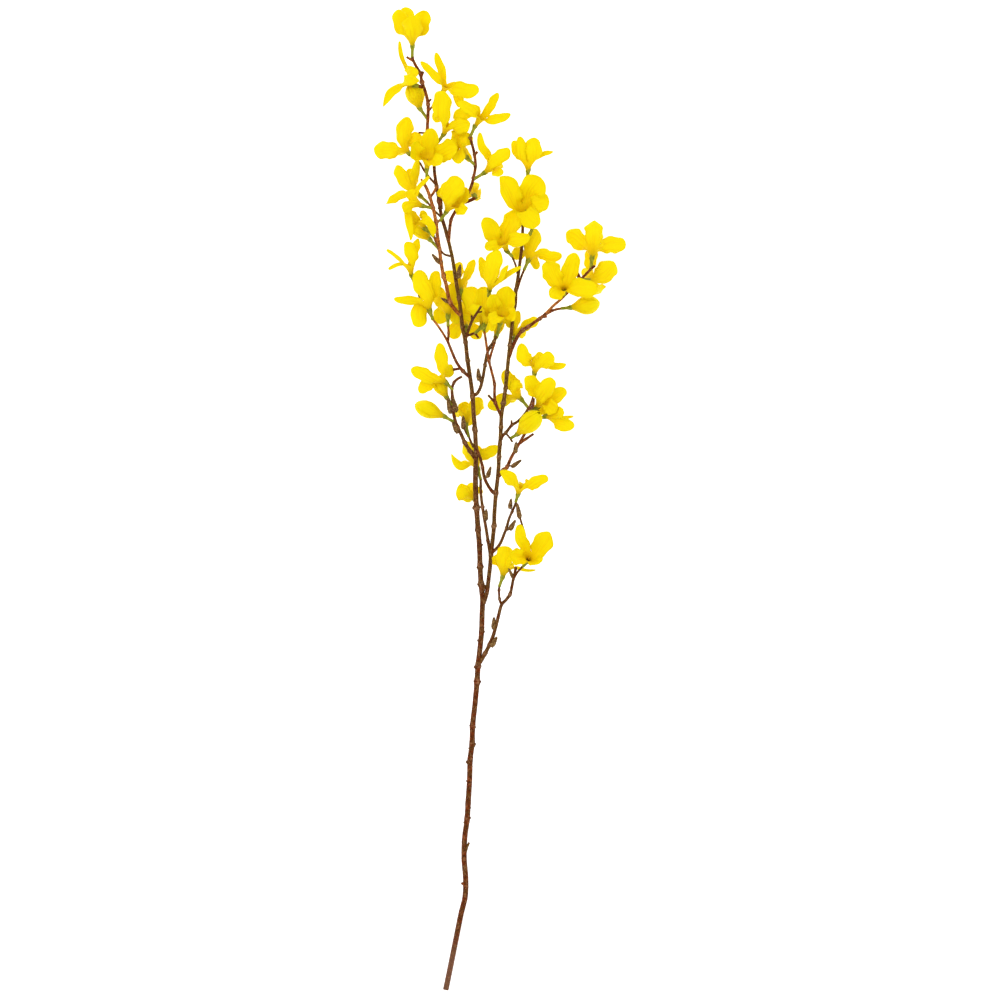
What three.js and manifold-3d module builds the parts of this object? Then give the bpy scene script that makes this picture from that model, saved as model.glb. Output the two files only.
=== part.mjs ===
// A cut branch of forsythia in bloom, lying on a surface.
// Millimetres. +X across the branch, +Y from the cut end to the tip, +Z up from the surface.
import * as THREE from "three";
import Module from "manifold-3d";

const wasm = await Module();
wasm.setup();

// Places are written on a plan of the lying branch: across from its left edge, down from its top edge,
// height above the surface, each in millimetres. The plan's middle is the part's origin.
const PLAN_MIDDLE_ACROSS = 500;
const PLAN_MIDDLE_DOWN = 500;

const PETAL_THICKNESS = 0.9;
const CALYX_RADIUS = 2.3;
const CALYX_LOBE = 1.5; // how far a calyx lobe stands up beside the corolla's tube
const CALYX_NOTCH = 0.3; // how far its rim dips between two lobes
const CALYX_CUP = 2.2; // from the swelling of the calyx up to its lobes
const BUD_BELLY = 0.3; // how far along a bud it is widest
const BUD_SHOULDER = 0.62; // and how far along its point begins
const BUD_SHOULDER_WIDTH = 0.76; // in widths of the bud
const BUD_FOOT_WIDTH = 0.4;
const PEDICEL_RADIUS = 1.3;
const ROOT_SUNK = 1; // into the wood
const ON_THE_END = 1.2; // a bloom or bud this near the end of a length of wood stands on it
const SEAT_DEPTH = 1.5; // of the cone in the calyx that holds the corolla
const SEAT_GAP = 0.55; // between that cone and the corolla's foot, along the stalk
const TUBE_RADIUS = 1.75;
const TUBE_START = 1.5; // above the calyx, where the corolla's tube leaves its foot
const STEM_SIDES = 6;
const BRANCH_SIDES = 5;
const TWIG_SIDES = 4;
const STALK_SIDES = 3;
const STEM_RADIUS = 2.25; // from this radius on, a length of wood has the stem's sides
const BRANCH_RADIUS = 1.55; // and from this one the branches'
const TWIG_RADIUS = 1; // and thinner than this it is a stalk
const STRAIGHT = 0.9; // a place this near the line past it adds nothing to the solid
const SWOLLEN = 1.25; // a node at least this many times thicker stands out as a short ring
const SWELLING_REACH = 1.5; // that ring's half length, in radii
const WOOD_DETAIL = 0.06; // the smallest step that the joined wood keeps

// ---- The wood: each route is [start radius, end radius, places from its root to its end], and a
// fourth value at a place is how many times thicker the wood is at the node there.
const ROUTES = [
  // main stem, from the cut end to the fork of the two upper leaders
  [2.85, 2.75, [[445.5, 992, 2.5], [449, 975, 3.2], [452, 960, 3.6], [455, 945, 4], [458, 930, 4.5],
    [461, 915, 5], [465, 898, 5.5], [465.5, 880, 6, 1.2], [464, 860, 6.5], [464.5, 840, 7.5],
    [467, 820, 8, 1.3], [468, 804, 8.5, 1.15], [469.5, 780, 9.5, 1.2], [470, 761, 10.5, 1.25],
    [472, 744, 11.5, 1.2], [472.5, 727, 12, 1.25], [475, 704, 13]]],
  [2.75, 2.6, [[475, 704, 13], [477, 682, 14, 1.5], [478, 666, 15, 1.3], [480, 648, 16],
    [481.5, 632, 17, 1.1], [482, 615, 18], [482.5, 600, 19], [481, 584, 20, 1.25], [480, 566, 21, 1.3],
    [479.5, 548, 22], [478, 529, 23, 1.3], [476.5, 508, 24.5, 1.6], [475.5, 487, 26],
    [475.5, 468, 27.5]]],
  [2.3, 1.75, [[475.5, 468, 27.5], [476, 453, 28, 1.25], [475, 430, 30, 1.25], [473.5, 412, 31],
    [472.5, 396, 32, 1.35], [470.5, 380, 32.5], [467.5, 360, 34, 1.2], [465.5, 342, 35, 1.2],
    [462.5, 327, 36, 1.15], [461, 314, 37], [459, 298, 38, 1.2], [456.5, 284, 39], [454, 268, 40],
    [452, 256, 40.5], [448.5, 241, 41.5]]],
  // left leader, up to the bloom at the very tip
  [1.9, 1.4, [[448.5, 241, 41.5], [445, 228, 42], [441.5, 216, 42], [439, 201, 42, 2],
    [436.5, 186, 42, 1.3], [434.5, 172, 42], [434, 160, 41], [431, 145, 40], [427.5, 130, 41, 1.3],
    [428, 116, 42], [428, 104, 43, 1.3], [425.5, 92, 43.5], [422, 82, 44, 1.8], [420, 73, 45, 1.4],
    [416, 66, 46], [411.5, 58.5, 46.5, 1.4]]],
  [1.1, 0.9, [[413, 61, 46], [406.5, 57, 47]]],
  [1.1, 1, [[427, 133, 41], [418.5, 132.5, 42]]],
  [1.1, 1, [[428.5, 102, 43], [431, 99, 44]]],
  [1.5, 1.3, [[421, 76, 45], [423.5, 71.5, 46]]],
  [1, 0.9, [[428, 112, 42], [434, 104, 39], [441, 97.5, 41]]],
  [1, 0.9, [[432, 150, 40], [438, 142, 43]]],
  [1.2, 1, [[435.5, 184, 42], [430, 178, 40], [424, 170, 38.5], [420, 163, 38], [416.5, 160, 38]]],
  [1.1, 1, [[441, 217, 42], [435, 211, 41], [429, 204, 41], [424.5, 199.5, 40]]],
  // right upper leader
  [1.7, 1.35, [[448.5, 242, 41.5], [449.5, 231, 43], [451, 220, 45, 1.15], [455, 212, 46],
    [460, 205, 47], [466, 197, 48], [471, 187, 49], [473.5, 178, 50, 1.25], [475.5, 166, 50.5, 1.2],
    [474.5, 155, 51, 1.25], [472.5, 146, 51.5], [470, 137, 52, 1.7]]],
  [1.2, 1.3, [[474, 156, 51], [477.5, 152, 52]]],
  [1.3, 1.2, [[462, 203, 47.5], [468, 201, 50], [476, 198, 51]]],
  // orange leader on the left
  [2, 1.6, [[460.5, 315, 37], [455.5, 310, 38], [450, 302, 40, 1.35], [447.5, 292, 42],
    [446, 284, 43], [443.5, 276, 44, 1.3], [441, 262, 45, 1.2], [439.5, 249, 46, 1.2],
    [437.5, 236, 47], [436, 222, 48, 1.35], [433, 208, 48, 1.4], [430, 197, 48, 1.2],
    [426.5, 188, 48], [424.5, 184, 47.5], [426.5, 179, 47]]],
  [1.1, 1, [[424.5, 184, 47.5], [421, 179, 47]]],
  [1.4, 1.3, [[430, 198, 48], [434, 192, 49], [436.5, 187, 50]]],
  [1.4, 1.2, [[436, 223, 48], [440.5, 220, 47.5]]],
  [1.2, 1, [[450, 256, 41], [444, 254, 44], [439.5, 249, 46]]],
  [1.6, 1.3, [[438.5, 247, 46], [436, 241, 46], [433.5, 236, 46]]],
  [1.4, 1.1, [[441, 264, 45], [438.5, 261.5, 45.5]]],
  [1, 0.9, [[454.5, 280, 40], [458, 277.5, 42]]],
  [1.2, 1, [[450, 304, 39.5], [446, 300.5, 40.5]]],
  // fork over the middle of the main stem
  [1.6, 1.2, [[465.5, 339, 35], [468, 331, 38], [472, 321, 50], [476.5, 314, 62], [481, 307, 68]]],
  [1.1, 1, [[472, 321, 50], [471.5, 316, 57]]],
  [0.9, 0.9, [[477.3, 313, 63], [481.5, 312, 68]]],
  [1.3, 1.1, [[466.5, 336, 36], [470.5, 334.5, 38], [475, 333.5, 40, 1.3], [478.5, 338, 41]]],
  // olive branch to the blooms in the middle
  [1.8, 1.4, [[472.5, 395, 32], [477, 393.5, 34], [480.5, 387, 36], [483, 377, 38],
    [485, 365, 41, 1.15], [487, 354, 43], [490, 347, 44.5, 1.2], [494, 341, 46, 1.3],
    [497, 335, 47]]],
  [0.8, 0.8, [[481.5, 384, 37], [479, 379.5, 38]]],
  // left twig with two blooms
  [1.7, 1.4, [[469.5, 377, 33], [463, 371, 35, 1.4], [457, 363, 37], [452, 352, 39], [448, 342, 41]]],
  [1.3, 1.1, [[448.5, 343, 41], [444, 335, 42], [438, 326, 43], [432.5, 319, 43.5]]],
  [1.3, 1.1, [[448, 343, 41], [448.5, 333, 42, 1.2], [448, 325.5, 42]]],
  [1.2, 1.5, [[460.5, 368.5, 36], [453, 369.5, 36]]],
  [0.9, 0.8, [[433.5, 320.5, 43], [430, 315, 36.5], [424, 306, 28.5], [419.5, 298, 32],
    [417, 290, 35], [415, 285.5, 38]]],
  // left lower branch
  [2, 1.3, [[475.5, 459, 28], [470, 451, 30, 1.2], [465, 443, 32, 1.25], [461, 434, 34],
    [457.5, 427, 35.5, 1.4], [455, 420, 37], [453, 410, 38.5, 1.3], [452.5, 398, 40, 1.3],
    [452, 389, 41], [454, 382.5, 42, 1.2], [457.5, 379, 43], [462, 376.5, 44]]],
  [1.3, 1.1, [[473.5, 447, 29], [471, 442, 26.5], [468.5, 436, 25]]],
  [0.9, 0.8, [[468.3, 436.5, 25], [465.5, 432, 25.5], [464, 428, 27]]],
  // right main branch
  [2.2, 1.9, [[483.5, 604, 19.5], [487, 592, 21], [488.5, 580, 22.5], [490, 567, 24],
    [491, 555, 26, 1.2], [492.5, 542, 28], [494, 526, 30.5, 1.35], [494.5, 512, 32],
    [496, 493, 36, 1.4], [497.5, 480, 37], [498.5, 468, 38], [499, 457, 39, 1.3],
    [500, 444, 40, 1.15], [501, 427, 41, 1.3], [501.5, 415, 42], [503.5, 403, 43, 1.35],
    [505.5, 388, 44, 1.15], [507, 373, 45, 1.25], [508.5, 358, 46]]],
  [1.9, 1.4, [[508.5, 358, 46], [510, 345, 47, 1.35], [511.5, 330, 48], [513, 316, 48],
    [515.5, 303, 48.5], [516, 290, 49, 1.2], [518, 277, 49.5], [520, 262, 50], [521.5, 250, 50.5],
    [522.5, 235, 51], [523, 222, 51.5], [524.5, 205, 52], [526, 190, 52.5], [526.5, 183, 53]]],
  [1.1, 1, [[517.5, 274, 50], [515.5, 265, 51], [511.8, 256.5, 52.5]]],
  [1.3, 1.1, [[517, 290, 49], [520.5, 279, 50.5], [524.3, 269.5, 51.5]]],
  [1.2, 1.2, [[522, 242, 51], [526, 240, 51], [530.3, 234, 51.5]]],
  [1, 0.9, [[514.5, 309, 48.5], [505, 305, 47], [495, 299.5, 47], [489, 297, 53],
    [488.4, 296.3, 61]]],
  // branch to the blooms on the right
  [1.9, 1.5, [[509, 357, 46], [513, 346, 47], [518, 336, 47], [523, 330, 46.5, 1.5],
    [528, 327, 46, 1.4], [534, 322.5, 44.5], [540, 318.5, 43, 1.5], [546, 313.5, 42, 1.3]]],
  [1.5, 1.1, [[545.5, 314, 42], [553, 306, 41], [560, 300, 40], [571, 289, 38], [580, 280, 36, 1.5],
    [586, 274, 36], [591, 268.8, 36]]],
  [1.5, 1.2, [[546, 314, 42], [554, 310, 41.5], [562, 308.3, 41]]],
  [1.4, 1.6, [[543, 317, 43], [547, 316, 43]]],
  [1.4, 1.1, [[580, 280, 36], [578, 273.5, 37]]],
  [1.1, 1, [[590, 269.5, 36], [595, 265.5, 37]]],
  [0.9, 0.8, [[562, 298, 40], [565, 294.5, 41]]],
  [0.9, 0.8, [[580, 280, 36], [582.5, 278.5, 35.5]]],
  // red twig left of the right main branch
  [1.6, 1.2, [[501.5, 417, 42], [495.5, 403, 46, 1.2], [494.5, 394, 47.5], [494.5, 384, 48, 1.3],
    [491.5, 371, 48.5], [489, 361, 49, 1.4], [487, 349, 49.5], [485.5, 338, 50],
    [484, 330, 50.5]]],
  [1.2, 1.3, [[495.5, 403, 46], [488, 395, 46]]],
  [1.3, 1.2, [[489.5, 360, 49], [492, 351, 48], [495, 342, 46]]],
  // twig to the blooms right of it
  [1.7, 1.3, [[500, 442, 40], [502.5, 436, 41], [506, 432.5, 42, 1.2], [512, 425, 44, 1.2],
    [517, 422, 44], [523, 416, 43], [528.5, 408.5, 42.5, 1.5]]],
  [1.1, 1, [[511.5, 426, 44], [511.5, 420.5, 46]]],
  [1.1, 1, [[505.5, 432.8, 42], [509.5, 437.5, 42], [512.5, 442, 43]]],
  [1.3, 1.1, [[528.5, 408.5, 42.5], [532.5, 406.5, 53], [533.5, 399.5, 67]]],
  [1, 0.9, [[529, 408.5, 42.5], [533, 396, 39.5], [534.2, 384, 42], [534.5, 379.5, 43.5]]],
  [1, 0.9, [[527, 411, 43], [535, 417.5, 41.5], [540.5, 418, 43]]],
  // red twig with buds
  [1.7, 1.2, [[499, 476, 37.5], [503, 470.5, 39, 1.3], [507, 467, 40.5, 1.3], [511, 458, 42],
    [515.5, 450, 44, 1.2], [519.5, 443, 45.5], [523.5, 436, 46.5], [526.5, 431.5, 47]]],
  [1.2, 1.2, [[519, 444, 45.5], [526, 439, 48, 1.2], [533.5, 434, 50]]],
  [0.9, 0.8, [[508, 465.8, 40.8], [514, 466, 43]]],
  // short branch between the two main ones
  [1.8, 1.4, [[497, 493.5, 36.5], [493, 492, 37, 1.2], [489, 487, 37], [484.5, 478, 36.5],
    [482.5, 467, 35.5, 1.3], [480.5, 459, 34.5], [477.5, 450, 31]]],
  [0.8, 0.7, [[485, 479, 36.5], [487.5, 476.5, 38]]],
  // left twig of the right main branch
  [1.7, 1.2, [[490.5, 556, 26], [488, 541, 28, 1.15], [486, 528, 28.5], [484, 517, 28.5],
    [482.5, 507, 28, 1.4], [481, 495, 27], [480.7, 486, 26, 1.2], [480.5, 479, 25]]],
  [1.1, 0.9, [[482.5, 507, 28], [479, 507, 19], [478, 505, 16.5]]],
  // right twig of the right main branch
  [1.7, 1.2, [[491.5, 553, 27], [497, 548, 29], [501, 542, 31], [504, 534.5, 33],
    [506.5, 528, 35, 1.2], [509, 519, 37], [512, 512, 39, 1.2], [515, 505, 41.5], [516, 501, 43]]],
  [0.8, 0.7, [[506.5, 530.5, 35], [510.5, 529, 37]]],
  [0.8, 0.7, [[512.5, 510.5, 39], [510.5, 507.5, 40]]],
  // branch low on the right
  [2.1, 1.5, [[480, 663, 15.5], [485, 654, 18, 1.2], [489.5, 645, 21, 1.2], [493.5, 635, 24],
    [496.5, 624, 27], [499, 614, 30], [501.5, 605, 32], [506, 600, 34], [510, 594.5, 36, 1.4],
    [512, 586, 38], [513.5, 578, 40, 1.2]]],
  [1.2, 1, [[513.5, 579, 40], [518, 571.5, 42], [523.5, 566, 44]]],
  [1.5, 1.4, [[513.8, 578, 40], [516, 567, 42]]],
  [1.3, 1.1, [[501.5, 605.5, 32], [499.5, 599, 34, 1.3], [499, 590, 35, 1.4], [499.5, 586, 36]]],
  [0.9, 1.1, [[519.5, 570, 42.5], [526, 560, 40], [526.5, 547, 40], [525, 534, 42], [522.5, 526, 43],
    [520, 518, 44]]],
  // stubs and knobs on the lower stem
  [1.6, 1.3, [[464.5, 845, 7.5], [469.5, 843, 9]]],
  [1.6, 1.3, [[465.5, 887, 6], [461, 884, 8]]],
  [1.9, 1.6, [[478, 668, 15], [474, 667, 17]]],
  [1.6, 1.2, [[483, 592, 20], [485, 585, 21.5]]],
  [2.2, 1.9, [[476.5, 509, 24.5], [473, 507, 26]]],
];

// ---- Winter buds: [base, tip, width]
const BUDS = [
  [[439.5, 263, 45], [431.5, 253.5, 47], 4.2],
  [[458.3, 277.5, 42], [460.3, 264, 46], 5],
  [[447, 301.5, 40], [440.5, 297.5, 41], 3.2],
  [[479, 380, 38], [478, 367.5, 41], 4.2],
  [[457.5, 432, 35], [452.5, 419.5, 38.5], 5],
  [[463.5, 428.5, 27], [463, 415, 30], 5],
  [[451.5, 413, 38.5], [448, 397.5, 41.5], 4.2],
  [[455.5, 411.5, 39], [453.8, 397.5, 44.5], 4.2],
  [[515.3, 452.5, 44], [516.3, 441, 48], 4.4],
  [[513.5, 466.3, 43], [522, 459.5, 47], 4],
  [[487.5, 477, 38], [491, 466, 42], 4.2],
  [[484.8, 520, 28.5], [486, 508.5, 31.5], 4.6],
  [[510, 529.5, 37], [515.8, 519.5, 41], 4.6],
  [[510.6, 508, 40], [511.3, 498, 43], 4.2],
  [[520, 519, 44], [517.3, 502.5, 47], 4.4],
  [[490.5, 647, 21.5], [497.2, 636.5, 26], 5.4],
  [[494.5, 630, 25], [494, 616.5, 28.5], 4.6],
  [[513, 577.5, 39.8], [508.3, 568, 41], 3.4],
];

// ---- Open blooms: [name, where the stalk leaves the wood, where the calyx ends, middle of the throat,
// radius of the throat, petals], and a petal is [tip, width, and where it has them: how far it is rolled
// from facing up, in degrees, how wide its tip is as a share of its width, and a place that its middle
// line bends to].
const BLOOMS = [
  ["bloom_01", [412.2, 58.3, 46.5], [412.5, 46.5, 48], [412, 38, 50], 5.8,
    [[[396, 12.5, 60], 15], [[427, 13, 54], 16], [[407, 7.5, 34], 16], [[413, 20, 72], 14]]],
  ["bloom_02", [423.2, 87, 44], [414.5, 85, 42], [407, 81, 40], 6,
    [[[397.5, 39, 50], 4.5, 0, 0.6, [399, 62, 48]], [[383, 105.5, 24], 9, 0, 0.2, [391, 88, 30]],
      [[407, 67, 58], 15, 0, 0.45, [405, 74, 58]], [[400, 90, 20], 12]]],
  ["bloom_04", [441, 98, 41], [443, 92.5, 44], [446, 86, 48], 5,
    [[[436, 53.5, 56], 8.5, 0, 0.4, [441.5, 69, 54]], [[421, 62, 50], 8, 0, 0.4, [432, 74, 50]],
      [[478, 89.5, 54], 16, 0, 0.5, [462, 93, 54]], [[460, 106, 34], 10]]],
  ["bloom_05", [438, 142, 43], [443.5, 134.5, 47], [447.5, 126, 52], 6.2,
    [[[440.5, 93, 64], 19], [[433, 115, 44], 12], [[469, 125, 58], 17], [[458, 140, 36], 14]]],
  ["bloom_06", [470.5, 136.5, 52], [475, 126.5, 55], [481, 118, 60], 4.8,
    [[[498, 94.5, 72], 10], [[510, 114.5, 66], 11, 0, 0.35, [497, 122.5, 66]],
      [[459, 103, 64], 11, 0, 0.4, [467, 109, 64]], [[454, 118, 50], 14]]],
  ["bloom_07", [416.5, 160, 38], [409.5, 153.5, 36], [404, 148, 33], 5.6,
    [[[407.5, 117.5, 30], 17], [[375, 150, 24], 18], [[421, 137, 32], 14], [[402, 153, 6], 12]]],
  ["bloom_08", [426.7, 178.5, 47], [427, 168.5, 49], [428, 158, 54], 7.5,
    [[[431.5, 130, 60], 18], [[456, 149, 66], 21], [[441, 164, 74], 15], [[412, 147, 70], 18]]],
  ["bloom_09", [475, 165, 50.5], [466.5, 157.5, 50], [461, 150, 49], 5.7,
    [[[468, 134, 48], 14], [[470.5, 161, 30], 8], [[446, 145, 42], 17], [[460, 163, 62], 12]]],
  ["bloom_10", [427, 202, 40.5], [420.5, 196, 37], [412, 188, 30], 5.5,
    [[[397, 165.5, 28], 13], [[386, 203, 18], 9, 0, 0.1],
      [[417.5, 158, 46], 9, 0, 0.16, [417, 174, 44]], [[410, 168, 12], 12]]],
  ["bloom_11", [432.5, 208.3, 48], [422.5, 206, 48.5], [415, 203, 50], 5.5,
    [[[429, 177, 60], 4.5, 0, 0.6], [[410.5, 240.5, 58], 7.5, 0, 0.3, [409, 222, 62]],
      [[404, 212, 68], 13], [[411, 190, 41], 12]]],
  ["bloom_12", [433.7, 236.5, 46], [425.3, 228.7, 46], [420, 222, 46], 5,
    [[[423.5, 211, 48], 8], [[408, 212, 44], 12], [[413, 234, 52], 9],
      [[433, 236.5, 50], 9, 0, 0.3, [433, 219, 62]]]],
  ["bloom_14", [440.5, 220.3, 47.5], [446.5, 211.8, 51], [453, 203, 55], 7.8,
    [[[463, 180, 68], 20], [[470, 190, 56], 15], [[465, 212, 60], 11], [[449, 190, 50], 17]]],
  ["bloom_15", [476, 198, 51], [474.5, 196, 46.5], [475, 193, 38], 4.7,
    [[[474, 181, 26], 10], [[482, 191, 24], 12], [[477, 200, 22], 9], [[464, 196, 26], 9]]],
  ["bloom_16", [474.5, 179, 50], [484.5, 173, 53], [491.5, 167, 56], 6,
    [[[480, 133.5, 62], 8.5, 0, 0.4, [480, 153, 64]], [[508.5, 150, 66], 14, 0, 0.4, [501, 158, 68]],
      [[500, 178, 64], 13], [[500, 163, 38], 12]]],
  ["bloom_17", [415, 285.5, 38], [411.5, 275.5, 43], [409.5, 265, 46], 5.7,
    [[[406.5, 243, 52], 13], [[418, 239, 38], 9, 0, 0.25], [[387, 250, 58], 4, 0, 0.6],
      [[388.5, 269, 42], 4, 0, 0.6]]],
  ["bloom_18", [432.5, 319, 43.5], [430, 311, 45], [427.5, 303, 43], 5.7,
    [[[421, 271.5, 48], 18, 0, 0.45, [418, 286, 53]], [[437, 271.5, 36], 13],
      [[394.5, 299, 56], 9, 0, 0.4, [408, 303, 54]], [[417.5, 326, 44], 17]]],
  ["bloom_19", [448, 325.5, 42], [448, 316.5, 38], [447.5, 308, 32], 6,
    [[[438, 322, 24], 16], [[458, 322, 26], 14], [[454, 284, 26], 15], [[436.5, 287, 20], 15]]],
  ["bloom_20", [464.6, 333, 34.8], [466, 327, 26], [464, 321, 17], 5.2,
    [[[452, 337, 8], 15], [[480, 337, 8], 14], [[457, 300, 8], 14], [[474, 307, 4], 13]]],
  ["bloom_21", [459.5, 298, 37], [461, 290.5, 33], [461.5, 281, 29], 5,
    [[[459.5, 262, 20], 11], [[474, 259.5, 24], 9, 0, 0.3], [[444, 274, 12], 12],
      [[461, 291, 7], 7]]],
  ["bloom_22", [488.5, 296, 61], [489.5, 291, 67], [491.5, 283, 68], 7,
    [[[498, 252, 76], 17], [[480.5, 258, 66], 9], [[508, 266, 74], 6, 0, 0.3, [502, 274, 76]],
      [[521, 267, 63], 6, 0, 0.3, [508, 275, 68]]]],
  ["bloom_23", [475.5, 333, 40], [481.5, 326.8, 40], [484, 319, 35], 5.7,
    [[[466.5, 290, 34], 20], [[488, 294, 27], 9], [[457, 313, 28], 13], [[484, 333, 14], 8]]],
  ["bloom_24", [484, 330, 50.5], [484.5, 325, 51.5], [487, 317, 52], 5.8,
    [[[483, 288, 46], 18], [[500, 305, 34], 12], [[470, 309, 46], 12], [[492, 331, 57], 9]]],
  ["bloom_25", [497, 335, 47], [500, 323.5, 53], [502, 314, 59], 6.6,
    [[[508, 288, 66], 19], [[491.5, 296, 75], 15], [[515, 314, 66], 16], [[490, 321, 70], 13]]],
  ["bloom_27", [526.6, 182.5, 53], [528, 171.5, 55], [528, 162, 57], 6.5,
    [[[513, 142, 50], 13], [[519.5, 138, 66], 10], [[534, 139.5, 64], 17],
      [[553, 152, 52], 5, 0, 0.3]]],
  ["bloom_28", [530.3, 234, 51.5], [533, 225.5, 53.5], [524.5, 208, 64], 8,
    [[[506, 181, 70], 22], [[537.5, 180, 72], 22], [[547, 208, 62], 15], [[537, 227, 70], 18]]],
  ["bloom_29", [511.5, 256, 52.5], [507, 251.3, 55], [503.3, 243, 60], 5.6,
    [[[484.5, 219.5, 74], 18], [[515, 211, 54], 19, 0, 0.45, [514, 224, 58]],
      [[528.5, 236.5, 67], 15, 0, 0.4, [516, 244, 66]], [[485.5, 248.5, 74], 11]]],
  ["bloom_30", [524.3, 269.5, 51.5], [528, 261, 49], [530, 254, 45], 7,
    [[[535.5, 230, 41], 15], [[561, 258, 42], 12, 0, 0.5, [546, 263, 42]], [[537, 268.5, 30], 9],
      [[513, 257, 36], 13]]],
  ["bloom_31", [591, 268.8, 36], [592, 258, 33], [593, 248, 28], 7.5,
    [[[594.5, 221, 22], 18], [[567, 232, 18], 15], [[625, 244, 22], 17], [[589, 268, 13], 13]]],
  ["bloom_32", [564.5, 295, 40.5], [564.5, 291, 45], [564, 287, 51], 5.2,
    [[[545.5, 264, 57], 20], [[575, 254.5, 59], 17], [[596, 290.5, 55], 19], [[551, 297.5, 66], 15]]],
  ["bloom_33", [582.5, 278.5, 35.5], [588, 280.5, 32], [592, 281.5, 25], 6.5,
    [[[613, 262, 16], 19], [[601, 292, 9], 14], [[584, 268, 3], 12], [[582, 292, 0.4], 12]]],
  ["bloom_35", [512.8, 346, 46.5], [515, 338.5, 44], [516.5, 330, 40.5], 5.7,
    [[[538.5, 319.5, 33], 11], [[526, 338, 20], 9, 0, 0.3], [[506, 316, 42], 11],
      [[518, 311, 24], 11]]],
  ["bloom_36", [452.2, 389, 41], [446, 382.5, 43], [440.5, 378, 45], 6,
    [[[440, 344, 50], 13], [[412, 369.5, 54], 14, 0, 0.4, [424, 375, 54]], [[420, 392, 44], 13],
      [[453, 371, 33], 14]]],
  ["bloom_39", [468.5, 436, 25], [465.8, 424.5, 22], [466.5, 416, 18], 5.7,
    [[[481, 399, 11], 15], [[465, 402, 8], 13], [[455, 415, 8], 7], [[468, 425, 3], 8]]],
  ["bloom_40", [480.5, 479, 25], [478, 469.5, 21], [475, 462, 16.5], 5.7,
    [[[451.5, 454, 16], 9, 0, 0.2, [459, 474, 12]], [[466, 442, 8], 14],
      [[497, 446, 12], 12, 0, 0.4, [488, 455, 14]], [[478, 446, 2.5], 12]]],
  ["bloom_41", [478, 505.5, 16.5], [475, 500, 13.5], [472, 495, 11], 5.6,
    [[[457.5, 487, 14], 11, 0, 0.2], [[466, 484.5, 4], 13], [[479, 488, 3], 12],
      [[464, 502, 2], 12]]],
  ["bloom_42", [534.5, 380, 43.5], [534.5, 373.5, 46], [536, 366, 49], 6,
    [[[520.5, 344.5, 54], 17, 0, 0.4, [523, 361, 52]], [[552, 355.5, 56], 16],
      [[565.5, 364, 44], 8, 0, 0.3, [557, 371, 44]], [[544, 354, 34], 12]]],
  ["bloom_43", [528, 407.3, 42.3], [521.5, 399.5, 39], [516, 394, 35], 6.2,
    [[[506, 370, 24], 16, 0, 0.45, [506, 385, 26]], [[518, 382, 42], 14],
      [[488.5, 405.5, 24], 14, 0, 0.45, [500, 404, 24]], [[512, 402, 14], 12]]],
  ["bloom_44", [528.8, 409, 42.6], [536.8, 408.3, 47], [541, 402, 49], 6,
    [[[527.5, 377, 52], 18], [[552, 379.5, 60], 16], [[565.5, 391, 46], 15], [[555, 412, 58], 15]]],
  ["bloom_45", [540.5, 418, 43], [545.5, 416.5, 44], [552, 416.5, 45], 5.6,
    [[[573.5, 426, 50], 14], [[563, 411, 62], 12], [[573.5, 416.5, 40], 3.5, 0, 0.5],
      [[530, 411, 31], 12, 0, 0.4, [543, 408, 36]]]],
  ["bloom_47", [516, 501, 43], [518, 494.5, 45], [519.5, 487, 48], 6.2,
    [[[501, 471.5, 60], 11, 0, 0.2, [510, 478, 56]], [[547.5, 478, 54], 12, 0, 0.5, [534, 482, 52]],
      [[526, 484, 28], 12], [[512, 485, 32], 11]]],
  ["bloom_48", [523.5, 566, 44], [528, 561.5, 50], [529.5, 557, 57], 5.4,
    [[[520, 525, 66], 12, 0, 0.45, [519, 541, 66]], [[549, 533.5, 68], 20], [[510.5, 555.5, 68], 17],
      [[540, 562, 78], 14]]],
  ["bloom_49", [499.5, 586, 36], [502.5, 577.3, 35], [504.5, 568, 34], 7.2,
    [[[505, 547.5, 42], 18], [[498, 555, 32], 11], [[536, 570, 28], 3.5, 0, 0.5, [519, 573, 30]],
      [[511, 563, 16], 12]]],
];

// ---- Blooms still closed as a bell: [name, where the stalk leaves the wood, where the calyx ends,
// the bell's tip, its width]
const BELLS = [
  ["bloom_03", [427.5, 119, 41.5], [420, 108.5, 37], [411, 82, 30], 19],
  ["bloom_13", [438.6, 248.6, 45.7], [430, 239.5, 35], [412, 222, 18], 15],
  ["bloom_26", [494, 341.5, 46], [496, 336.5, 41], [501, 316, 28], 11],
  ["bloom_34", [562, 308.3, 41], [570.3, 307.5, 41], [600, 303, 40], 19],
  ["bloom_37", [451.8, 404.5, 39.5], [446.8, 397.5, 36.5], [435, 377, 30], 14],
  ["bloom_38", [452.8, 421.3, 37.5], [444.5, 416.5, 38], [414.5, 404, 39], 17],
  ["bloom_46", [511.3, 438, 42], [517.3, 434.2, 48], [540, 413, 66], 20],
];

// ---- Small helpers

const place = ([across, down, height]) =>
  new THREE.Vector3(across - PLAN_MIDDLE_ACROSS, PLAN_MIDDLE_DOWN - down, height);

const mix = (a, b, t) => a.clone().lerp(b, t);
const along = (point, direction, distance) => point.clone().addScaledVector(direction, distance);
const towards = (from, to) => to.clone().sub(from).normalize();

// A closed solid as a list of points and faces that name them.
class Faces {
  constructor() {
    this.points = [];
    this.corners = [];
  }

  add(point) {
    this.points.push(point.x, point.y, Math.max(point.z, 0));
    return this.points.length / 3 - 1;
  }

  triangle(a, b, c) {
    this.corners.push(a, b, c);
  }

  quad(a, b, c, d) {
    this.triangle(a, b, c);
    this.triangle(a, c, d);
  }

  solid() {
    const mesh = new wasm.Mesh({
      numProp: 3,
      vertProperties: new Float32Array(this.points),
      triVerts: new Uint32Array(this.corners),
    });
    return new wasm.Manifold(mesh);
  }
}

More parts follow.
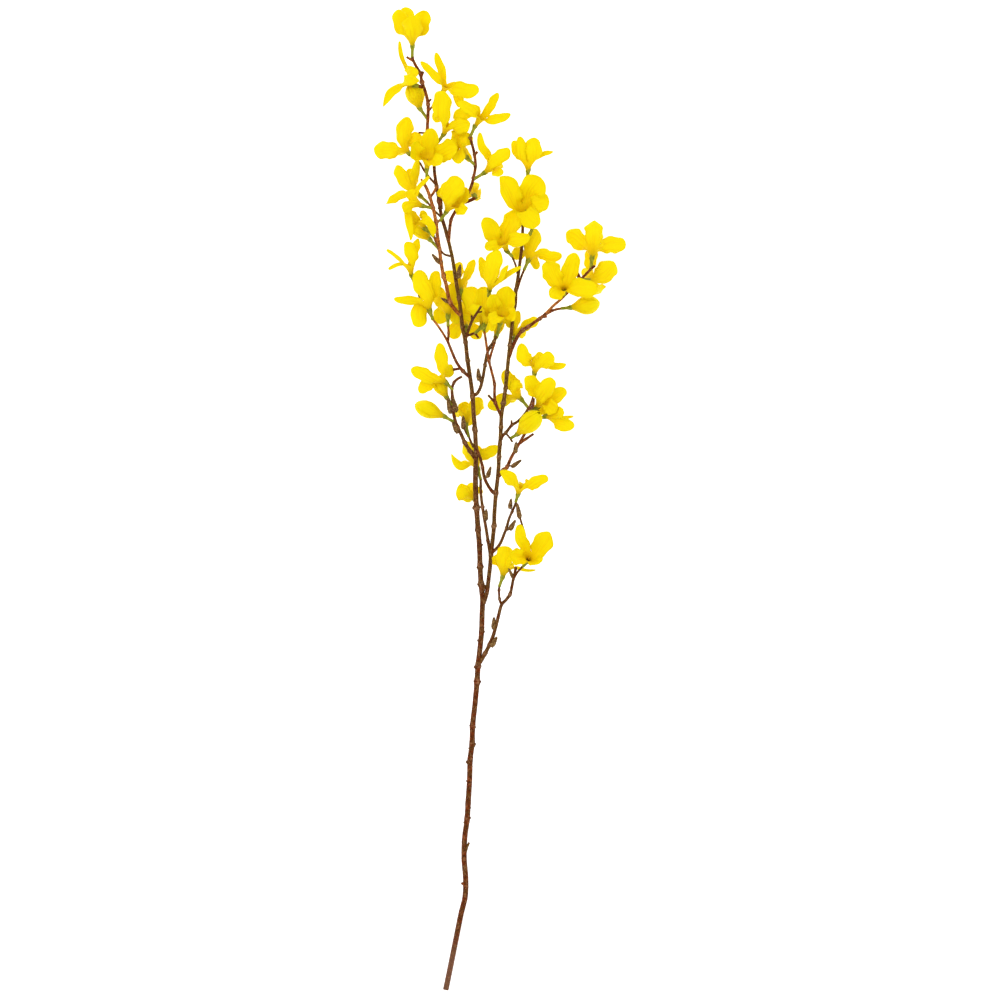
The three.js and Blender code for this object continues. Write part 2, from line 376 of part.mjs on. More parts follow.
// A solid through rings of points, each ring seen from its end running anticlockwise. A ring of one
// point is a sharp end, and a ring may have twice the points of the one before it.
function loft(rings) {
  const faces = new Faces();
  const ids = rings.map((ring) => ring.map((point) => faces.add(point)));
  for (let i = 0; i + 1 < ids.length; i++) {
    const [low, high] = [ids[i], ids[i + 1]];
    const sides = Math.max(low.length, high.length);
    const doubled = high.length === 2 * low.length;
    for (let j = 0; j < sides; j++) {
      const k = (j + 1) % sides;
      if (low.length === 1) faces.triangle(low[0], high[k], high[j]);
      else if (high.length === 1) faces.triangle(low[j], low[k], high[0]);
      else if (doubled) faces.triangle(low[Math.ceil(j / 2) % low.length], high[k], high[j]);
      else faces.quad(low[j], low[k], high[k], high[j]);
    }
    if (doubled)
      for (let j = 0; j < low.length; j++)
        faces.triangle(low[j], low[(j + 1) % low.length], high[2 * j + 1]);
  }
  const [first, last] = [ids[0], ids[ids.length - 1]];
  for (let j = 1; j + 1 < first.length; j++) faces.triangle(first[0], first[j + 1], first[j]);
  for (let j = 1; j + 1 < last.length; j++) faces.triangle(last[0], last[j], last[j + 1]);
  return faces.solid();
}

// Two directions square to a third and to each other.
function squareTo(direction) {
  const up = Math.abs(direction.z) < 0.8 ? new THREE.Vector3(0, 0, 1) : new THREE.Vector3(0, 1, 0);
  const side = up.cross(direction).normalize();
  return [side, direction.clone().cross(side)];
}

function ring(centre, direction, radius, sides, radiusAt = () => 1) {
  const [side, over] = squareTo(direction);
  return Array.from({ length: sides }, (_, j) => {
    const turn = (2 * Math.PI * j) / sides;
    const reach = radius * radiusAt(j);
    return along(along(centre, side, reach * Math.cos(turn)), over, reach * Math.sin(turn));
  });
}

// ---- Wood

function sidesFor(radius) {
  if (radius >= STEM_RADIUS) return STEM_SIDES;
  if (radius >= BRANCH_RADIUS) return BRANCH_SIDES;
  return radius >= TWIG_RADIUS ? TWIG_SIDES : STALK_SIDES;
}

// Every second place is passed over where the wood runs almost straight and has no swollen node.
function passedOver(centres, places, i) {
  if (i % 2 === 0 || i + 1 >= centres.length || (places[i][3] ?? 1) >= SWOLLEN) return false;
  const line = new THREE.Line3(centres[i - 1], centres[i + 1]);
  const nearest = line.closestPointToPoint(centres[i], true, new THREE.Vector3());
  return nearest.distanceTo(centres[i]) < STRAIGHT;
}

// One tapering length of wood. Its nodes swell over a short stretch, and a bloom's calyx or a bud that
// stands on its end is drawn on from its last ring.
function woodAlong([startRadius, endRadius, places]) {
  const centres = places.map(place);
  const ending = endingOn(centres[centres.length - 1]);
  const sides = ending.length ? TWIG_SIDES : sidesFor(startRadius);
  const rings = [];
  centres.forEach((centre, i) => {
    if (passedOver(centres, places, i)) return;
    const before = centres[Math.max(i - 1, 0)];
    const after = centres[Math.min(i + 1, centres.length - 1)];
    const direction = towards(before, after);
    const radius = startRadius + ((endRadius - startRadius) * i) / (centres.length - 1);
    const swelling = places[i][3] ?? 1;
    const collar = swelling >= SWOLLEN && i > 0 && i + 1 < centres.length;
    const reach = SWELLING_REACH * radius;
    if (collar) rings.push(ring(along(centre, direction, -reach), direction, radius, sides));
    rings.push(ring(centre, direction, radius * (collar ? swelling : 1), sides));
    if (collar) rings.push(ring(along(centre, direction, reach), direction, radius, sides));
  });
  return loft([...rings, ...ending]);
}

function isOn(end, base) {
  return place(base).distanceTo(end) < ON_THE_END;
}

function endingOn(end) {
  const bloom = [...BLOOMS, ...BELLS].find(([, root]) => isOn(end, root));
  const bud = BUDS.find(([base]) => isOn(end, base));
  if (bloom) return calyxRings(bloom);
  return bud ? budRings(bud) : [];
}

// A calyx or bud with no length of wood of its own, on a short foot sunk into the wood beside it.
function standing(base, tip, radius, rings) {
  const [foot, point] = [place(base), place(tip)];
  const direction = towards(foot, point);
  return loft([ring(along(foot, direction, -ROOT_SUNK), direction, radius, TWIG_SIDES), ...rings]);
}

// A winter bud, a pointed spindle.
function budRings([base, tip, width]) {
  const [foot, point] = [place(base), place(tip)];
  const direction = towards(foot, point);
  return [
    ring(mix(foot, point, BUD_BELLY), direction, width / 2, TWIG_SIDES),
    ring(mix(foot, point, BUD_SHOULDER), direction, (width / 2) * BUD_SHOULDER_WIDTH, TWIG_SIDES),
    [point],
  ];
}

// The green stalk of a bloom with its cup of four lobes. The cone in the cup seats the corolla.
function calyxRings([, base, end]) {
  const [root, top] = [place(base), place(end)];
  const direction = towards(root, top);
  const lobes = (j) => (j % 2 === 0 ? 1.1 : 1);
  const rim = ring(top, direction, CALYX_RADIUS, 8, lobes).map((point, j) =>
    along(point, direction, j % 2 === 0 ? CALYX_LOBE : -CALYX_NOTCH),
  );
  const cup = Math.min(CALYX_CUP, root.distanceTo(top) * 0.7);
  return [
    ring(along(top, direction, -cup), direction, CALYX_RADIUS, 8),
    rim,
    [along(top, direction, -SEAT_DEPTH)],
  ];
}

// ---- Corollas

// A corolla's foot and tube end in a ring of eight places: the four petals' middles and, between them,
// the corners where neighbours meet. Each petal is a blade that grows on from three of them.
function corolla(stalk, top, tubeEnd, outer, inner, petals) {
  const faces = new Faces();
  const foot = faces.add(along(top, stalk, SEAT_GAP - SEAT_DEPTH));
  const floor = faces.add(tubeEnd);
  const low = outer.map((point) => {
    const spread = point.clone().sub(tubeEnd);
    const level = along(top, stalk, TUBE_START);
    const flat = along(spread, stalk, -spread.dot(stalk)).normalize();
    return faces.add(along(level, flat, TUBE_RADIUS));
  });
  const outerRing = outer.map((point) => faces.add(point));
  const innerRing = inner.map((point) => faces.add(point));
  for (let j = 0; j < 8; j++) {
    const k = (j + 1) % 8;
    faces.triangle(foot, low[k], low[j]);
    faces.quad(low[j], low[k], outerRing[k], outerRing[j]);
    faces.triangle(floor, innerRing[j], innerRing[k]);
  }
  petals.forEach((rows, petal) => {
    const columns = [(2 * petal + 7) % 8, 2 * petal, 2 * petal + 1];
    const above = [columns.map((j) => innerRing[j])];
    const below = [columns.map((j) => outerRing[j])];
    for (const row of rows) {
      above.push(row.map((pair) => faces.add(pair.above)));
      below.push(row.map((pair) => faces.add(pair.below)));
    }
    for (let i = 0; i + 1 < above.length; i++) {
      for (let j = 0; j < 2; j++) {
        faces.quad(above[i][j], above[i + 1][j], above[i + 1][j + 1], above[i][j + 1]);
        faces.triangle(below[i][j], below[i + 1][j + 1], below[i + 1][j]);
        faces.triangle(below[i][j], below[i][j + 1], below[i + 1][j + 1]);
      }
      faces.quad(above[i][0], below[i][0], below[i + 1][0], above[i + 1][0]);
      faces.quad(above[i][2], above[i + 1][2], below[i + 1][2], below[i][2]);
    }
    const end = above.length - 1;
    for (let j = 0; j < 2; j++)
      faces.quad(above[end][j], below[end][j], below[end][j + 1], above[end][j + 1]);
  });
  return faces.solid();
}

const PETAL_ROWS = [0.34, 0.75, 1];
const ROW_WIDTHS = [0.86, 0.95]; // shares of the petal's width; the last row is the tip's
const TIP_WIDTH = 0.42;
const FLARE = 0.9; // the most a petal leans out where it leaves the throat, against going on along it
const CURL = 0.25; // how far its tip leans back
const TURN_LENGTH = 0.6; // share of its length in which a petal turns its face up
const CUPPING = 0.22; // how far its edges stand up, in half widths
const TIP_POINT = 0.06; // how far its tip's middle stands out, as a share of its width
const EVENNESS = 0.7; // how far a bloom's petals are moved to even quarters where they leave its throat
const ROOM = 0.68; // share of the way to its neighbour's edge that a petal may fill
const WIDEST = 1.2; // half the angle between two neighbours is taken as no more, in radians
const REACH = 0.36; // how strongly a petal's middle line keeps its first and last direction
const THROAT_DEPTH = 0.6; // in throat radii

// The middle line of a petal from the throat to its tip, as a curve.
function petalLine(start, flare, axis, tip, bend) {
  const reach = start.distanceTo(tip);
  const lean = towards(start, tip).addScaledVector(axis, -CURL).normalize();
  const leave = along(start, flare, reach * REACH);
  const arrive = bend ? place(bend) : along(tip, lean, -reach * REACH);
  return new THREE.CubicBezierCurve3(start, leave, arrive, tip);
}

// The rows of a petal: from the throat on it turns its face to the sky, or, where it has a roll, that
// far on from facing up.
function facingUp(line, flare, cross, roll) {
  const rows = [];
  let [before, rooted] = [flare, cross];
  for (const t of PETAL_ROWS) {
    const forward = line.getTangent(t);
    const bent = new THREE.Quaternion().setFromUnitVectors(before, forward);
    rooted = rooted.clone().applyQuaternion(bent);
    before = forward;
    const level = new THREE.Vector3(0, 0, 1).cross(forward);
    rows.push({ t, forward, rooted, level });
  }
  const sum = rows.reduce((total, { rooted, level }) => total + rooted.dot(level), 0);
  return rows.map(({ t, forward, rooted, level }) => {
    const turned = Math.min(t / TURN_LENGTH, 1) * level.length();
    level.normalize().multiplyScalar(Math.sign(sum));
    level.applyAxisAngle(forward, THREE.MathUtils.degToRad(roll));
    return { t, forward, across: rooted.clone().lerp(level, turned).normalize() };
  });
}

// An open bloom. Its petals leave the throat in turn round the axis and curve to their tips.
function openBloom([, root, top, throat, mouth, petals]) {
  const [stalkFoot, stalkTop, middle] = [root, top, throat].map(place);
  const stalk = towards(stalkFoot, stalkTop);
  const axis = towards(stalkTop, middle);
  const [side, over] = squareTo(axis);
  const sorted = petals
    .map(([tip, width, roll = 0, tipShare = TIP_WIDTH, bend]) => {
      const spread = place(tip).sub(middle);
      const turn = Math.atan2(spread.dot(over), spread.dot(side));
      return { tip: place(tip), width, roll, tipShare, bend, turn };
    })
    .sort((a, b) => a.turn - b.turn);
  const quarter = Math.PI / 2;
  const first = sorted.reduce((sum, petal, k) => sum + petal.turn - k * quarter, 0) / 4;
  sorted.forEach((petal, k) => {
    petal.turn += (first + k * quarter - petal.turn) * EVENNESS;
  });
  sorted.forEach((petal, k) => {
    const next = sorted[(k + 1) % 4];
    petal.gap = next.turn - petal.turn + (k === 3 ? 4 * quarter : 0);
    next.gapBefore = petal.gap;
  });
  const turns = sorted.flatMap((petal) => [petal.turn, petal.turn + petal.gap / 2]);
  const outward = (turn) =>
    side.clone().multiplyScalar(Math.cos(turn)).addScaledVector(over, Math.sin(turn));
  const flareAt = (turn) => along(axis, outward(turn), FLARE).normalize();
  const crossAt = (turn) => axis.clone().cross(outward(turn));
  const inwardAt = (turn) => flareAt(turn).cross(crossAt(turn));
  const edge = (turn) => along(middle, outward(turn), mouth);
  const half = PETAL_THICKNESS / 2;
  const outer = turns.map((turn) => along(edge(turn), inwardAt(turn), -half));
  const inner = turns.map((turn) => along(edge(turn), inwardAt(turn), half));
  const blades = sorted.map((petal) => {
    const aim = petal.tip.clone().sub(stalkTop);
    const ahead = Math.max(aim.dot(axis), 0.01);
    const lean = Math.min(FLARE, along(aim, axis, -ahead).length() / ahead);
    const flare = along(axis, outward(petal.turn), lean).normalize();
    const line = petalLine(edge(petal.turn), flare, axis, petal.tip, petal.bend);
    const rows = facingUp(line, flare, crossAt(petal.turn), petal.roll);
    return rows.map(({ t, forward, across }, i) => {
      const facing = forward.clone().cross(across);
      const reach = (petal.width / 2) * (ROW_WIDTHS[i] ?? petal.tipShare);
      const centre = line.getPoint(t);
      return [-1, 0, 1].map((column) => {
        const gap = column < 0 ? petal.gapBefore : petal.gap;
        const room = ROOM * centre.distanceTo(middle) * Math.tan(Math.min(gap / 2, WIDEST));
        const sideways = column * Math.min(reach, room);
        const lift = (Math.abs(column) - 0.5) * CUPPING * reach;
        const point = along(along(centre, across, sideways), facing, lift);
        if (t === 1 && column === 0) point.addScaledVector(forward, petal.width * TIP_POINT);
        point.z = Math.max(point.z, half);
        return { above: along(point, facing, half), below: along(point, facing, -half) };
      });
    });
  });
  const floor = along(middle, axis, -mouth * THROAT_DEPTH);
  return corolla(stalk, stalkTop, floor, outer, inner, blades);
}

const BELL_ROWS = [0.52, 0.8, 1];
const BELL_WIDTHS = [1, 0.8, 0.25];
const BELL_MOUTH = 0.3; // how far along the bell its petals part
const BELL_GAP = 4; // degrees that each petal's edge keeps clear of its neighbour's
const BELL_WAIST = 0.72; // where its petals part, as a share of its greatest width
const BELL_FLOOR = 0.7; // how far up to there the hollow inside it starts

// A bloom still closed as a bell: four petals round its axis, edge to edge.
function closedBloom([, root, top, tip, width]) {
  const [stalkFoot, stalkTop, end] = [root, top, tip].map(place);
  const stalk = towards(stalkFoot, stalkTop);
  const axis = towards(stalkTop, end);
  const [side, over] = squareTo(axis);
  const around = (share, degrees, radius) => {
    const turn = THREE.MathUtils.degToRad(degrees);
    const point = along(mix(stalkTop, end, share), side, radius * Math.cos(turn));
    return along(point, over, radius * Math.sin(turn));
  };
  const mouthRadius = width * 0.5 * BELL_WAIST;
  const half = PETAL_THICKNESS / 2;
  const turns = Array.from({ length: 8 }, (_, j) => 45 * j);
  const outer = turns.map((turn) => around(BELL_MOUTH, turn, mouthRadius + half));
  const inner = turns.map((turn) => around(BELL_MOUTH, turn, mouthRadius - half));
  const blades = [0, 1, 2, 3].map((petal) =>
    BELL_ROWS.map((share, i) =>
      [-1, 0, 1].map((column) => {
        const turn = 90 * petal + column * (45 - BELL_GAP);
        const radius = width * 0.5 * BELL_WIDTHS[i];
        return {
          above: around(share, turn, radius - half),
          below: around(share, turn, radius + half),
        };
      }),
    ),
  );
  const floor = mix(stalkTop, end, BELL_MOUTH * BELL_FLOOR);
  return corolla(stalk, stalkTop, floor, outer, inner, blades);
}

// ---- The branch

const PETAL_YELLOW = new THREE.MeshStandardMaterial({ color: "#f6dc0c", roughness: 0.7, metalness: 0 });
const BARK_BROWN = new THREE.MeshStandardMaterial({ color: "#6a4225", roughness: 0.8, metalness: 0 });

function meshOf(name, solid, material) {
  const { vertProperties, triVerts } = solid.getMesh();
  const geometry = new THREE.BufferGeometry();
  geometry.setAttribute("position", new THREE.BufferAttribute(vertProperties, 3));
  geometry.setIndex(new THREE.BufferAttribute(triVerts, 1));
  geometry.computeVertexNormals();
  const mesh = new THREE.Mesh(geometry, material);
  mesh.name = name;
  return mesh;
}

function woodSolid() {
  const ends = ROUTES.map(([, , places]) => place(places[places.length - 1]));
  const alone = (base) => !ends.some((end) => isOn(end, base));
  const stalks = [...BLOOMS, ...BELLS]
    .filter(([, root]) => alone(root))
    .map((bloom) => standing(bloom[1], bloom[2], PEDICEL_RADIUS, calyxRings(bloom)));
  const buds = BUDS.filter(([base]) => alone(base)).map((bud) =>
    standing(bud[0], bud[1], (bud[2] / 2) * BUD_FOOT_WIDTH, budRings(bud)),
  );
  const pieces = [...ROUTES.map(woodAlong), ...buds, ...stalks];
  return wasm.Manifold.union(pieces).simplify(WOOD_DETAIL);
}

const branch = new THREE.Group();
branch.name = "forsythia_branch";
branch.add(meshOf("wood", woodSolid(), BARK_BROWN));
for (const bloom of BLOOMS) branch.add(meshOf(bloom[0], openBloom(bloom), PETAL_YELLOW));
for (const bell of BELLS) branch.add(meshOf(bell[0], closedBloom(bell), PETAL_YELLOW));

export default branch;
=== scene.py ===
import math
import random
from functools import partial

import bmesh
import bpy
from mathutils import Matrix, Vector


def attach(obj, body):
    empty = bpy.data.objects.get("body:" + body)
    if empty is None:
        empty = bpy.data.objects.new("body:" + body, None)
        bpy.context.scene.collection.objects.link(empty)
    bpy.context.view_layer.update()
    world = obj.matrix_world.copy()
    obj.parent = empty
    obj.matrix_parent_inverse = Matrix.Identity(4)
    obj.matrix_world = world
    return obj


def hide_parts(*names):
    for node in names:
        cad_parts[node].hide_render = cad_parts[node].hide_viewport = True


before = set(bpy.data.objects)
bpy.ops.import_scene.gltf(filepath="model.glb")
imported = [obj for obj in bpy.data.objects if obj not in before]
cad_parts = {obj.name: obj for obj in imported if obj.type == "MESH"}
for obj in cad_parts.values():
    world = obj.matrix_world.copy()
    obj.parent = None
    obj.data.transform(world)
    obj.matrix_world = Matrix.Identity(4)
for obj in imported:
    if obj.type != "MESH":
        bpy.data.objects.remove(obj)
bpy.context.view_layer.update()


# ---- Woody branch ---------------------------------------------------------------------------------
# Stem, side branches, twigs and broken stubs of one living shrub, grown as a single piece: round
# wood under thin brown bark, swollen at every node, with pale warts (lenticels) all over.

MM = 0.001
PLAN_MIDDLE = (500, 500)  # the branch's places are written across, down and up, in millimetres
STEP = 1.1 * MM  # between two rings of bark
BARK_SIDES = 12
SWELLING_SPREAD = 1.1  # how far a swollen node reaches each way, in radii of its wood
BARK_RELIEF, BARK_RELIEF_SCALE = 0.34 * MM, 420.0  # its depth, and bumps to a metre
RELIEF_DETAIL = 3.0
FIBRE_DEPTH = 0.3 * MM
WARTS_PER_SQUARE_METRE = 16000
SMALLEST_WART, LARGEST_WART = 0.22 * MM, 0.5 * MM
WART_SEED = 5
PATTERN_SHIFT = 0.37  # metres that each route's bark pattern starts after the last one's
PATTERN_UNITS = 1000.0  # the pattern's units to a metre of wood
DRIED_FROM, DRIED_TO, DRIED = -430 * MM, -462 * MM, 0.6  # where the stem turns grey, and how much

# how red the bark is: a place on its row of colours, from olive through brown to orange
OLIVE, BROWN, DARK, MAHOGANY, RUSSET, SALMON, ORANGE = 0.0, 0.33, 0.45, 0.56, 0.66, 0.82, 1.0

# each route: radius at its root and at its end, bark at its root and at its end, and its places; a
# fourth value at a place is how many times thicker the wood is at the node there
ROUTES = [
    # main stem, from the cut end to the fork of the two upper leaders
    [2.85, 2.75, DARK, DARK, [[445.5, 992, 3], [449, 975, 3.5], [452, 960, 3.8], [455, 945, 4.1],
     [458, 930, 4.5], [461, 915, 5], [465, 898, 5.5], [465.5, 880, 6], [464, 860, 6.5],
     [464.5, 840, 7.5], [467, 820, 8, 1.14], [468, 804, 8.5, 1.1], [469.5, 780, 9.5],
     [470, 761, 10.5, 1.08], [472, 744, 11.5, 1.12], [472.5, 727, 12, 1.14], [475, 704, 13]]],
    [2.75, 2.6, DARK, BROWN, [[475, 704, 13], [477, 682, 14, 1.3], [478, 666, 15, 1.2], [480, 648, 16],
     [481.5, 632, 17, 1.08], [482, 615, 18], [482.5, 600, 19], [481, 584, 20, 1.16],
     [480, 566, 21, 1.16], [479.5, 548, 22, 1.1], [478, 529, 23, 1.16], [476.5, 508, 24.5, 1.35],
     [475.5, 487, 26], [475.5, 468, 27.5]]],
    [2.3, 1.75, BROWN, OLIVE, [[475.5, 468, 27.5], [476, 453, 28, 1.25], [475, 430, 30, 1.25],
     [473.5, 412, 31], [472.5, 396, 32, 1.35], [470.5, 380, 32.5], [467.5, 360, 34, 1.2],
     [465.5, 342, 35, 1.2], [462.5, 327, 36, 1.15], [461, 314, 37], [459, 298, 38, 1.2],
     [456.5, 284, 39], [454, 268, 40], [452, 256, 40.5], [448.5, 241, 41.5]]],
    # left leader, up to the bloom at the very tip
    [1.9, 1.65, BROWN, DARK, [[448.5, 241, 41.5], [445, 228, 42], [441.5, 216, 42], [439, 201, 42, 1.5],
     [436.5, 186, 42, 1.3], [434.5, 172, 42], [434, 160, 41]]],
    [1.8, 1.5, SALMON, MAHOGANY, [[434.5, 163, 41.3], [434, 160, 41], [431, 145, 40],
     [427.5, 130, 41, 1.3], [428, 116, 42], [428, 104, 43, 1.3], [425.5, 92, 43.5], [422, 82, 44, 1.8],
     [420, 73, 45, 1.4], [416, 66, 46], [411.8, 57.5, 46.5, 1.7]]],
    [1.3, 1.2, SALMON, SALMON, [[413, 61, 46], [406.5, 57, 47]]],
    [1.1, 1, RUSSET, RUSSET, [[427, 133, 41], [418.5, 132.5, 42]]],
    [1.1, 1, RUSSET, RUSSET, [[428.5, 102, 43], [431, 99, 44]]],
    [1.9, 1.5, MAHOGANY, MAHOGANY, [[420.8, 77, 45], [423, 71.5, 46]]],
    [1.9, 1.7, MAHOGANY, MAHOGANY, [[424, 87, 44], [419, 86.3, 43.2]]],
    [1, 0.9, RUSSET, RUSSET, [[428, 112, 42], [434, 104, 39], [441, 97.5, 41]]],
    [1, 0.9, RUSSET, RUSSET, [[432, 150, 40], [438, 142, 43]]],
    [1.2, 1, BROWN, BROWN, [[435.5, 184, 42], [430, 178, 40], [424, 170, 38.5], [420, 163, 38],
     [416.5, 160, 38]]],
    [1.1, 1, BROWN, BROWN, [[441, 217, 42], [435, 211, 41], [429, 204, 41], [424.5, 199.5, 40]]],
    # right upper leader
    [1.7, 1.4, RUSSET, MAHOGANY, [[448.5, 242, 41.5], [449.5, 231, 43], [451, 220, 45, 1.15],
     [455, 212, 46], [460, 205, 47], [466, 197, 48], [471, 187, 49], [473.5, 178, 50, 1.25],
     [475.5, 166, 50.5, 1.2], [474.5, 155, 51, 1.25], [472.5, 146, 51.5], [470, 137, 52, 1.7]]],
    [1.2, 1.3, RUSSET, RUSSET, [[474, 156, 51], [477.5, 152, 52]]],
    [1.8, 1.7, MAHOGANY, MAHOGANY, [[462, 203, 47.5], [468, 201.5, 48.5], [476, 198, 51]]],
    # orange leader on the left
    [2, 1.6, SALMON, ORANGE, [[460.5, 315, 37], [455.5, 310, 38], [450, 302, 40, 1.35], [447.5, 292, 42],
     [446, 284, 43], [443.5, 276, 44, 1.3], [441, 262, 45, 1.2], [439.5, 249, 46, 1.2], [437.5, 236, 47],
     [436, 222, 48, 1.35], [433, 208, 48, 1.4], [430, 197, 48, 1.2], [426.5, 188, 48],
     [424.5, 184, 47.5], [426.5, 179, 47]]],
    [1.1, 1, RUSSET, ORANGE, [[424.5, 184, 47.5], [421, 179, 47]]],
    [1.4, 1.3, RUSSET, ORANGE, [[430, 198, 48], [434, 192, 49], [436.5, 187, 50]]],
    [1.4, 1.2, RUSSET, ORANGE, [[436, 223, 48], [440.5, 220, 47.5]]],
    [1.2, 1, BROWN, BROWN, [[450, 256, 41], [444, 254, 44], [439.5, 249, 46]]],
    [1.6, 1.3, RUSSET, RUSSET, [[438.5, 247, 46], [436, 241, 46], [433.5, 236, 46]]],
    [1.4, 1.1, RUSSET, ORANGE, [[441, 264, 45], [438.5, 261.5, 45.5]]],
    [1, 0.9, BROWN, BROWN, [[454.5, 280, 40], [458, 277.5, 42]]],
    [1.2, 1, BROWN, BROWN, [[450, 304, 39.5], [446, 300.5, 40.5]]],
    # fork over the middle of the main stem
    [1.6, 1.2, BROWN, BROWN, [[465.5, 339, 35], [468, 331, 38], [472, 321, 50], [476.5, 314, 62],
     [481, 307, 68]]],
    [1.1, 1, BROWN, BROWN, [[472, 321, 50], [471.5, 316, 57]]],
    [0.9, 0.9, BROWN, BROWN, [[477.3, 313, 63], [481.5, 312, 68]]],
    [1.3, 1.1, DARK, DARK, [[466.5, 336, 36], [470.5, 334.5, 38], [475, 333.5, 40, 1.3], [478.5, 338, 41]]],
    # olive branch to the blooms in the middle
    [1.8, 1.4, BROWN, OLIVE, [[472.5, 395, 32], [477, 393.5, 34], [480.5, 387, 36], [483, 377, 38],
     [485, 365, 41, 1.15], [487, 354, 43], [490, 347, 44.5, 1.2], [494, 341, 46, 1.3], [497, 335, 47]]],
    [0.8, 0.8, BROWN, BROWN, [[481.5, 384, 37], [479, 379.5, 38]]],
    # left twig with two blooms
    [1.7, 1.4, DARK, RUSSET, [[469.5, 377, 33], [463, 371, 35, 1.4], [457, 363, 37], [452, 352, 39],
     [448, 342, 41]]],
    [1.3, 1.1, RUSSET, ORANGE, [[448.5, 343, 41], [444, 335, 42], [438, 326, 43], [432.5, 319, 43.5]]],
    [1.3, 1.1, RUSSET, RUSSET, [[448, 343, 41], [448.5, 333, 42, 1.2], [448, 325.5, 42]]],
    [1.2, 1.5, DARK, DARK, [[460.5, 368.5, 36], [453, 369.5, 36]]],
    [0.9, 0.8, BROWN, OLIVE, [[433.5, 320.5, 43], [430, 315, 36.5], [424, 306, 28.5], [419.5, 298, 32],
     [417, 290, 35], [415, 285.5, 38]]],
    # left lower branch
    [2, 1.3, BROWN, DARK, [[475.5, 459, 28], [470, 451, 30, 1.2], [465, 443, 32, 1.25], [461, 434, 34],
     [457.5, 427, 35.5, 1.4], [455, 420, 37], [453, 410, 38.5, 1.3], [452.5, 398, 40, 1.3],
     [452, 389, 41], [454, 382.5, 42, 1.2], [457.5, 379, 43], [462, 376.5, 44]]],
    [1.3, 1.1, BROWN, BROWN, [[473.5, 447, 29], [471, 442, 26.5], [468.5, 436, 25]]],
    [0.9, 0.8, OLIVE, OLIVE, [[468.3, 436.5, 25], [465.5, 432, 25.5], [464, 428, 27]]],
    # right main branch
    [2.2, 1.9, BROWN, OLIVE, [[483.5, 604, 19.5], [487, 592, 21], [488.5, 580, 22.5], [490, 567, 24],
     [491, 555, 26, 1.2], [492.5, 542, 28], [494, 526, 30.5, 1.35], [494.5, 512, 32],
     [496, 493, 36, 1.4], [497.5, 480, 37], [498.5, 468, 38], [499, 457, 39, 1.3], [500, 444, 40, 1.15],
     [501, 427, 41, 1.3], [501.5, 415, 42], [503.5, 403, 43, 1.35], [505.5, 388, 44, 1.15],
     [507, 373, 45, 1.25], [508.5, 358, 46]]],
    [1.9, 1.4, OLIVE, DARK, [[508.5, 358, 46], [510, 345, 47, 1.35], [511.5, 330, 48], [513, 316, 48],
     [515.5, 303, 48.5], [516, 290, 49, 1.2], [518, 277, 49.5], [520, 262, 50], [521.5, 250, 50.5],
     [522.5, 235, 51], [523, 222, 51.5], [524.5, 205, 52], [526, 190, 52.5], [526.5, 183, 53]]],
    [1.1, 1, DARK, DARK, [[517.5, 274, 50], [515.5, 265, 51], [511.8, 256.5, 52.5]]],
    [1.3, 1.1, DARK, DARK, [[517, 290, 49], [520.5, 279, 50.5], [524.3, 269.5, 51.5]]],
    [1.2, 1.2, BROWN, BROWN, [[522, 242, 51], [526, 240, 51], [530.3, 234, 51.5]]],
    [1, 0.9, BROWN, OLIVE, [[514.5, 309, 48.5], [505, 305, 47], [495, 299.5, 47], [489, 297, 53],
     [488.4, 296.3, 61]]],
    # branch to the blooms on the right
    [1.9, 1.5, MAHOGANY, RUSSET, [[509, 357, 46], [513, 346, 47], [518, 336, 47], [523, 330, 46.5, 1.5],
     [528, 327, 46, 1.4], [534, 322.5, 44.5], [540, 318.5, 43, 1.5], [546, 313.5, 42, 1.3]]],
    [1.5, 1.3, ORANGE, MAHOGANY, [[545.5, 314, 42], [553, 306, 41], [560, 300, 40], [571, 289, 38],
     [580, 280, 36, 1.5], [586, 274, 36], [591, 268.8, 36]]],
    [1.5, 1.2, RUSSET, RUSSET, [[546, 314, 42], [554, 310, 41.5], [562, 308.3, 41]]],
    [1.4, 1.6, RUSSET, RUSSET, [[543, 317, 43], [547, 316, 43]]],
    [2, 1.7, MAHOGANY, MAHOGANY, [[580.5, 280.5, 36], [577.5, 273, 37]]],
    [1.5, 1.3, MAHOGANY, MAHOGANY, [[590, 269.5, 36], [595, 265.5, 37]]],
    [0.9, 0.8, RUSSET, RUSSET, [[562, 298, 40], [565, 294.5, 41]]],
    [0.9, 0.8, RUSSET, RUSSET, [[580, 280, 36], [582.5, 278.5, 35.5]]],
    # red twig left of the right main branch
    [1.6, 1.2, MAHOGANY, SALMON, [[501.5, 417, 42], [495.5, 403, 46, 1.2], [494.5, 394, 47.5],
     [494.5, 384, 48, 1.3], [491.5, 371, 48.5], [489, 361, 49, 1.4], [487, 349, 49.5], [485.5, 338, 50],
     [484, 330, 50.5]]],
    [1.2, 1.3, BROWN, BROWN, [[495.5, 403, 46], [488, 395, 46]]],
    [1.3, 1.2, RUSSET, RUSSET, [[489.5, 360, 49], [492, 351, 48], [495, 342, 46]]],
    # twig to the blooms right of it
    [1.7, 1.3, BROWN, BROWN, [[500, 442, 40], [502.5, 436, 41], [506, 432.5, 42, 1.2],
     [512, 425, 44, 1.2], [517, 422, 44], [523, 416, 43], [528.5, 408.5, 42.5, 1.5]]],
    [1.1, 1, BROWN, BROWN, [[511.5, 426, 44], [511.5, 420.5, 46]]],
    [1.1, 1, BROWN, BROWN, [[505.5, 432.8, 42], [509.5, 437.5, 42], [512.5, 442, 43]]],
    [1.9, 1.5, MAHOGANY, MAHOGANY, [[528.5, 408.5, 42.5], [532.5, 406.5, 53], [533.5, 399.5, 67]]],
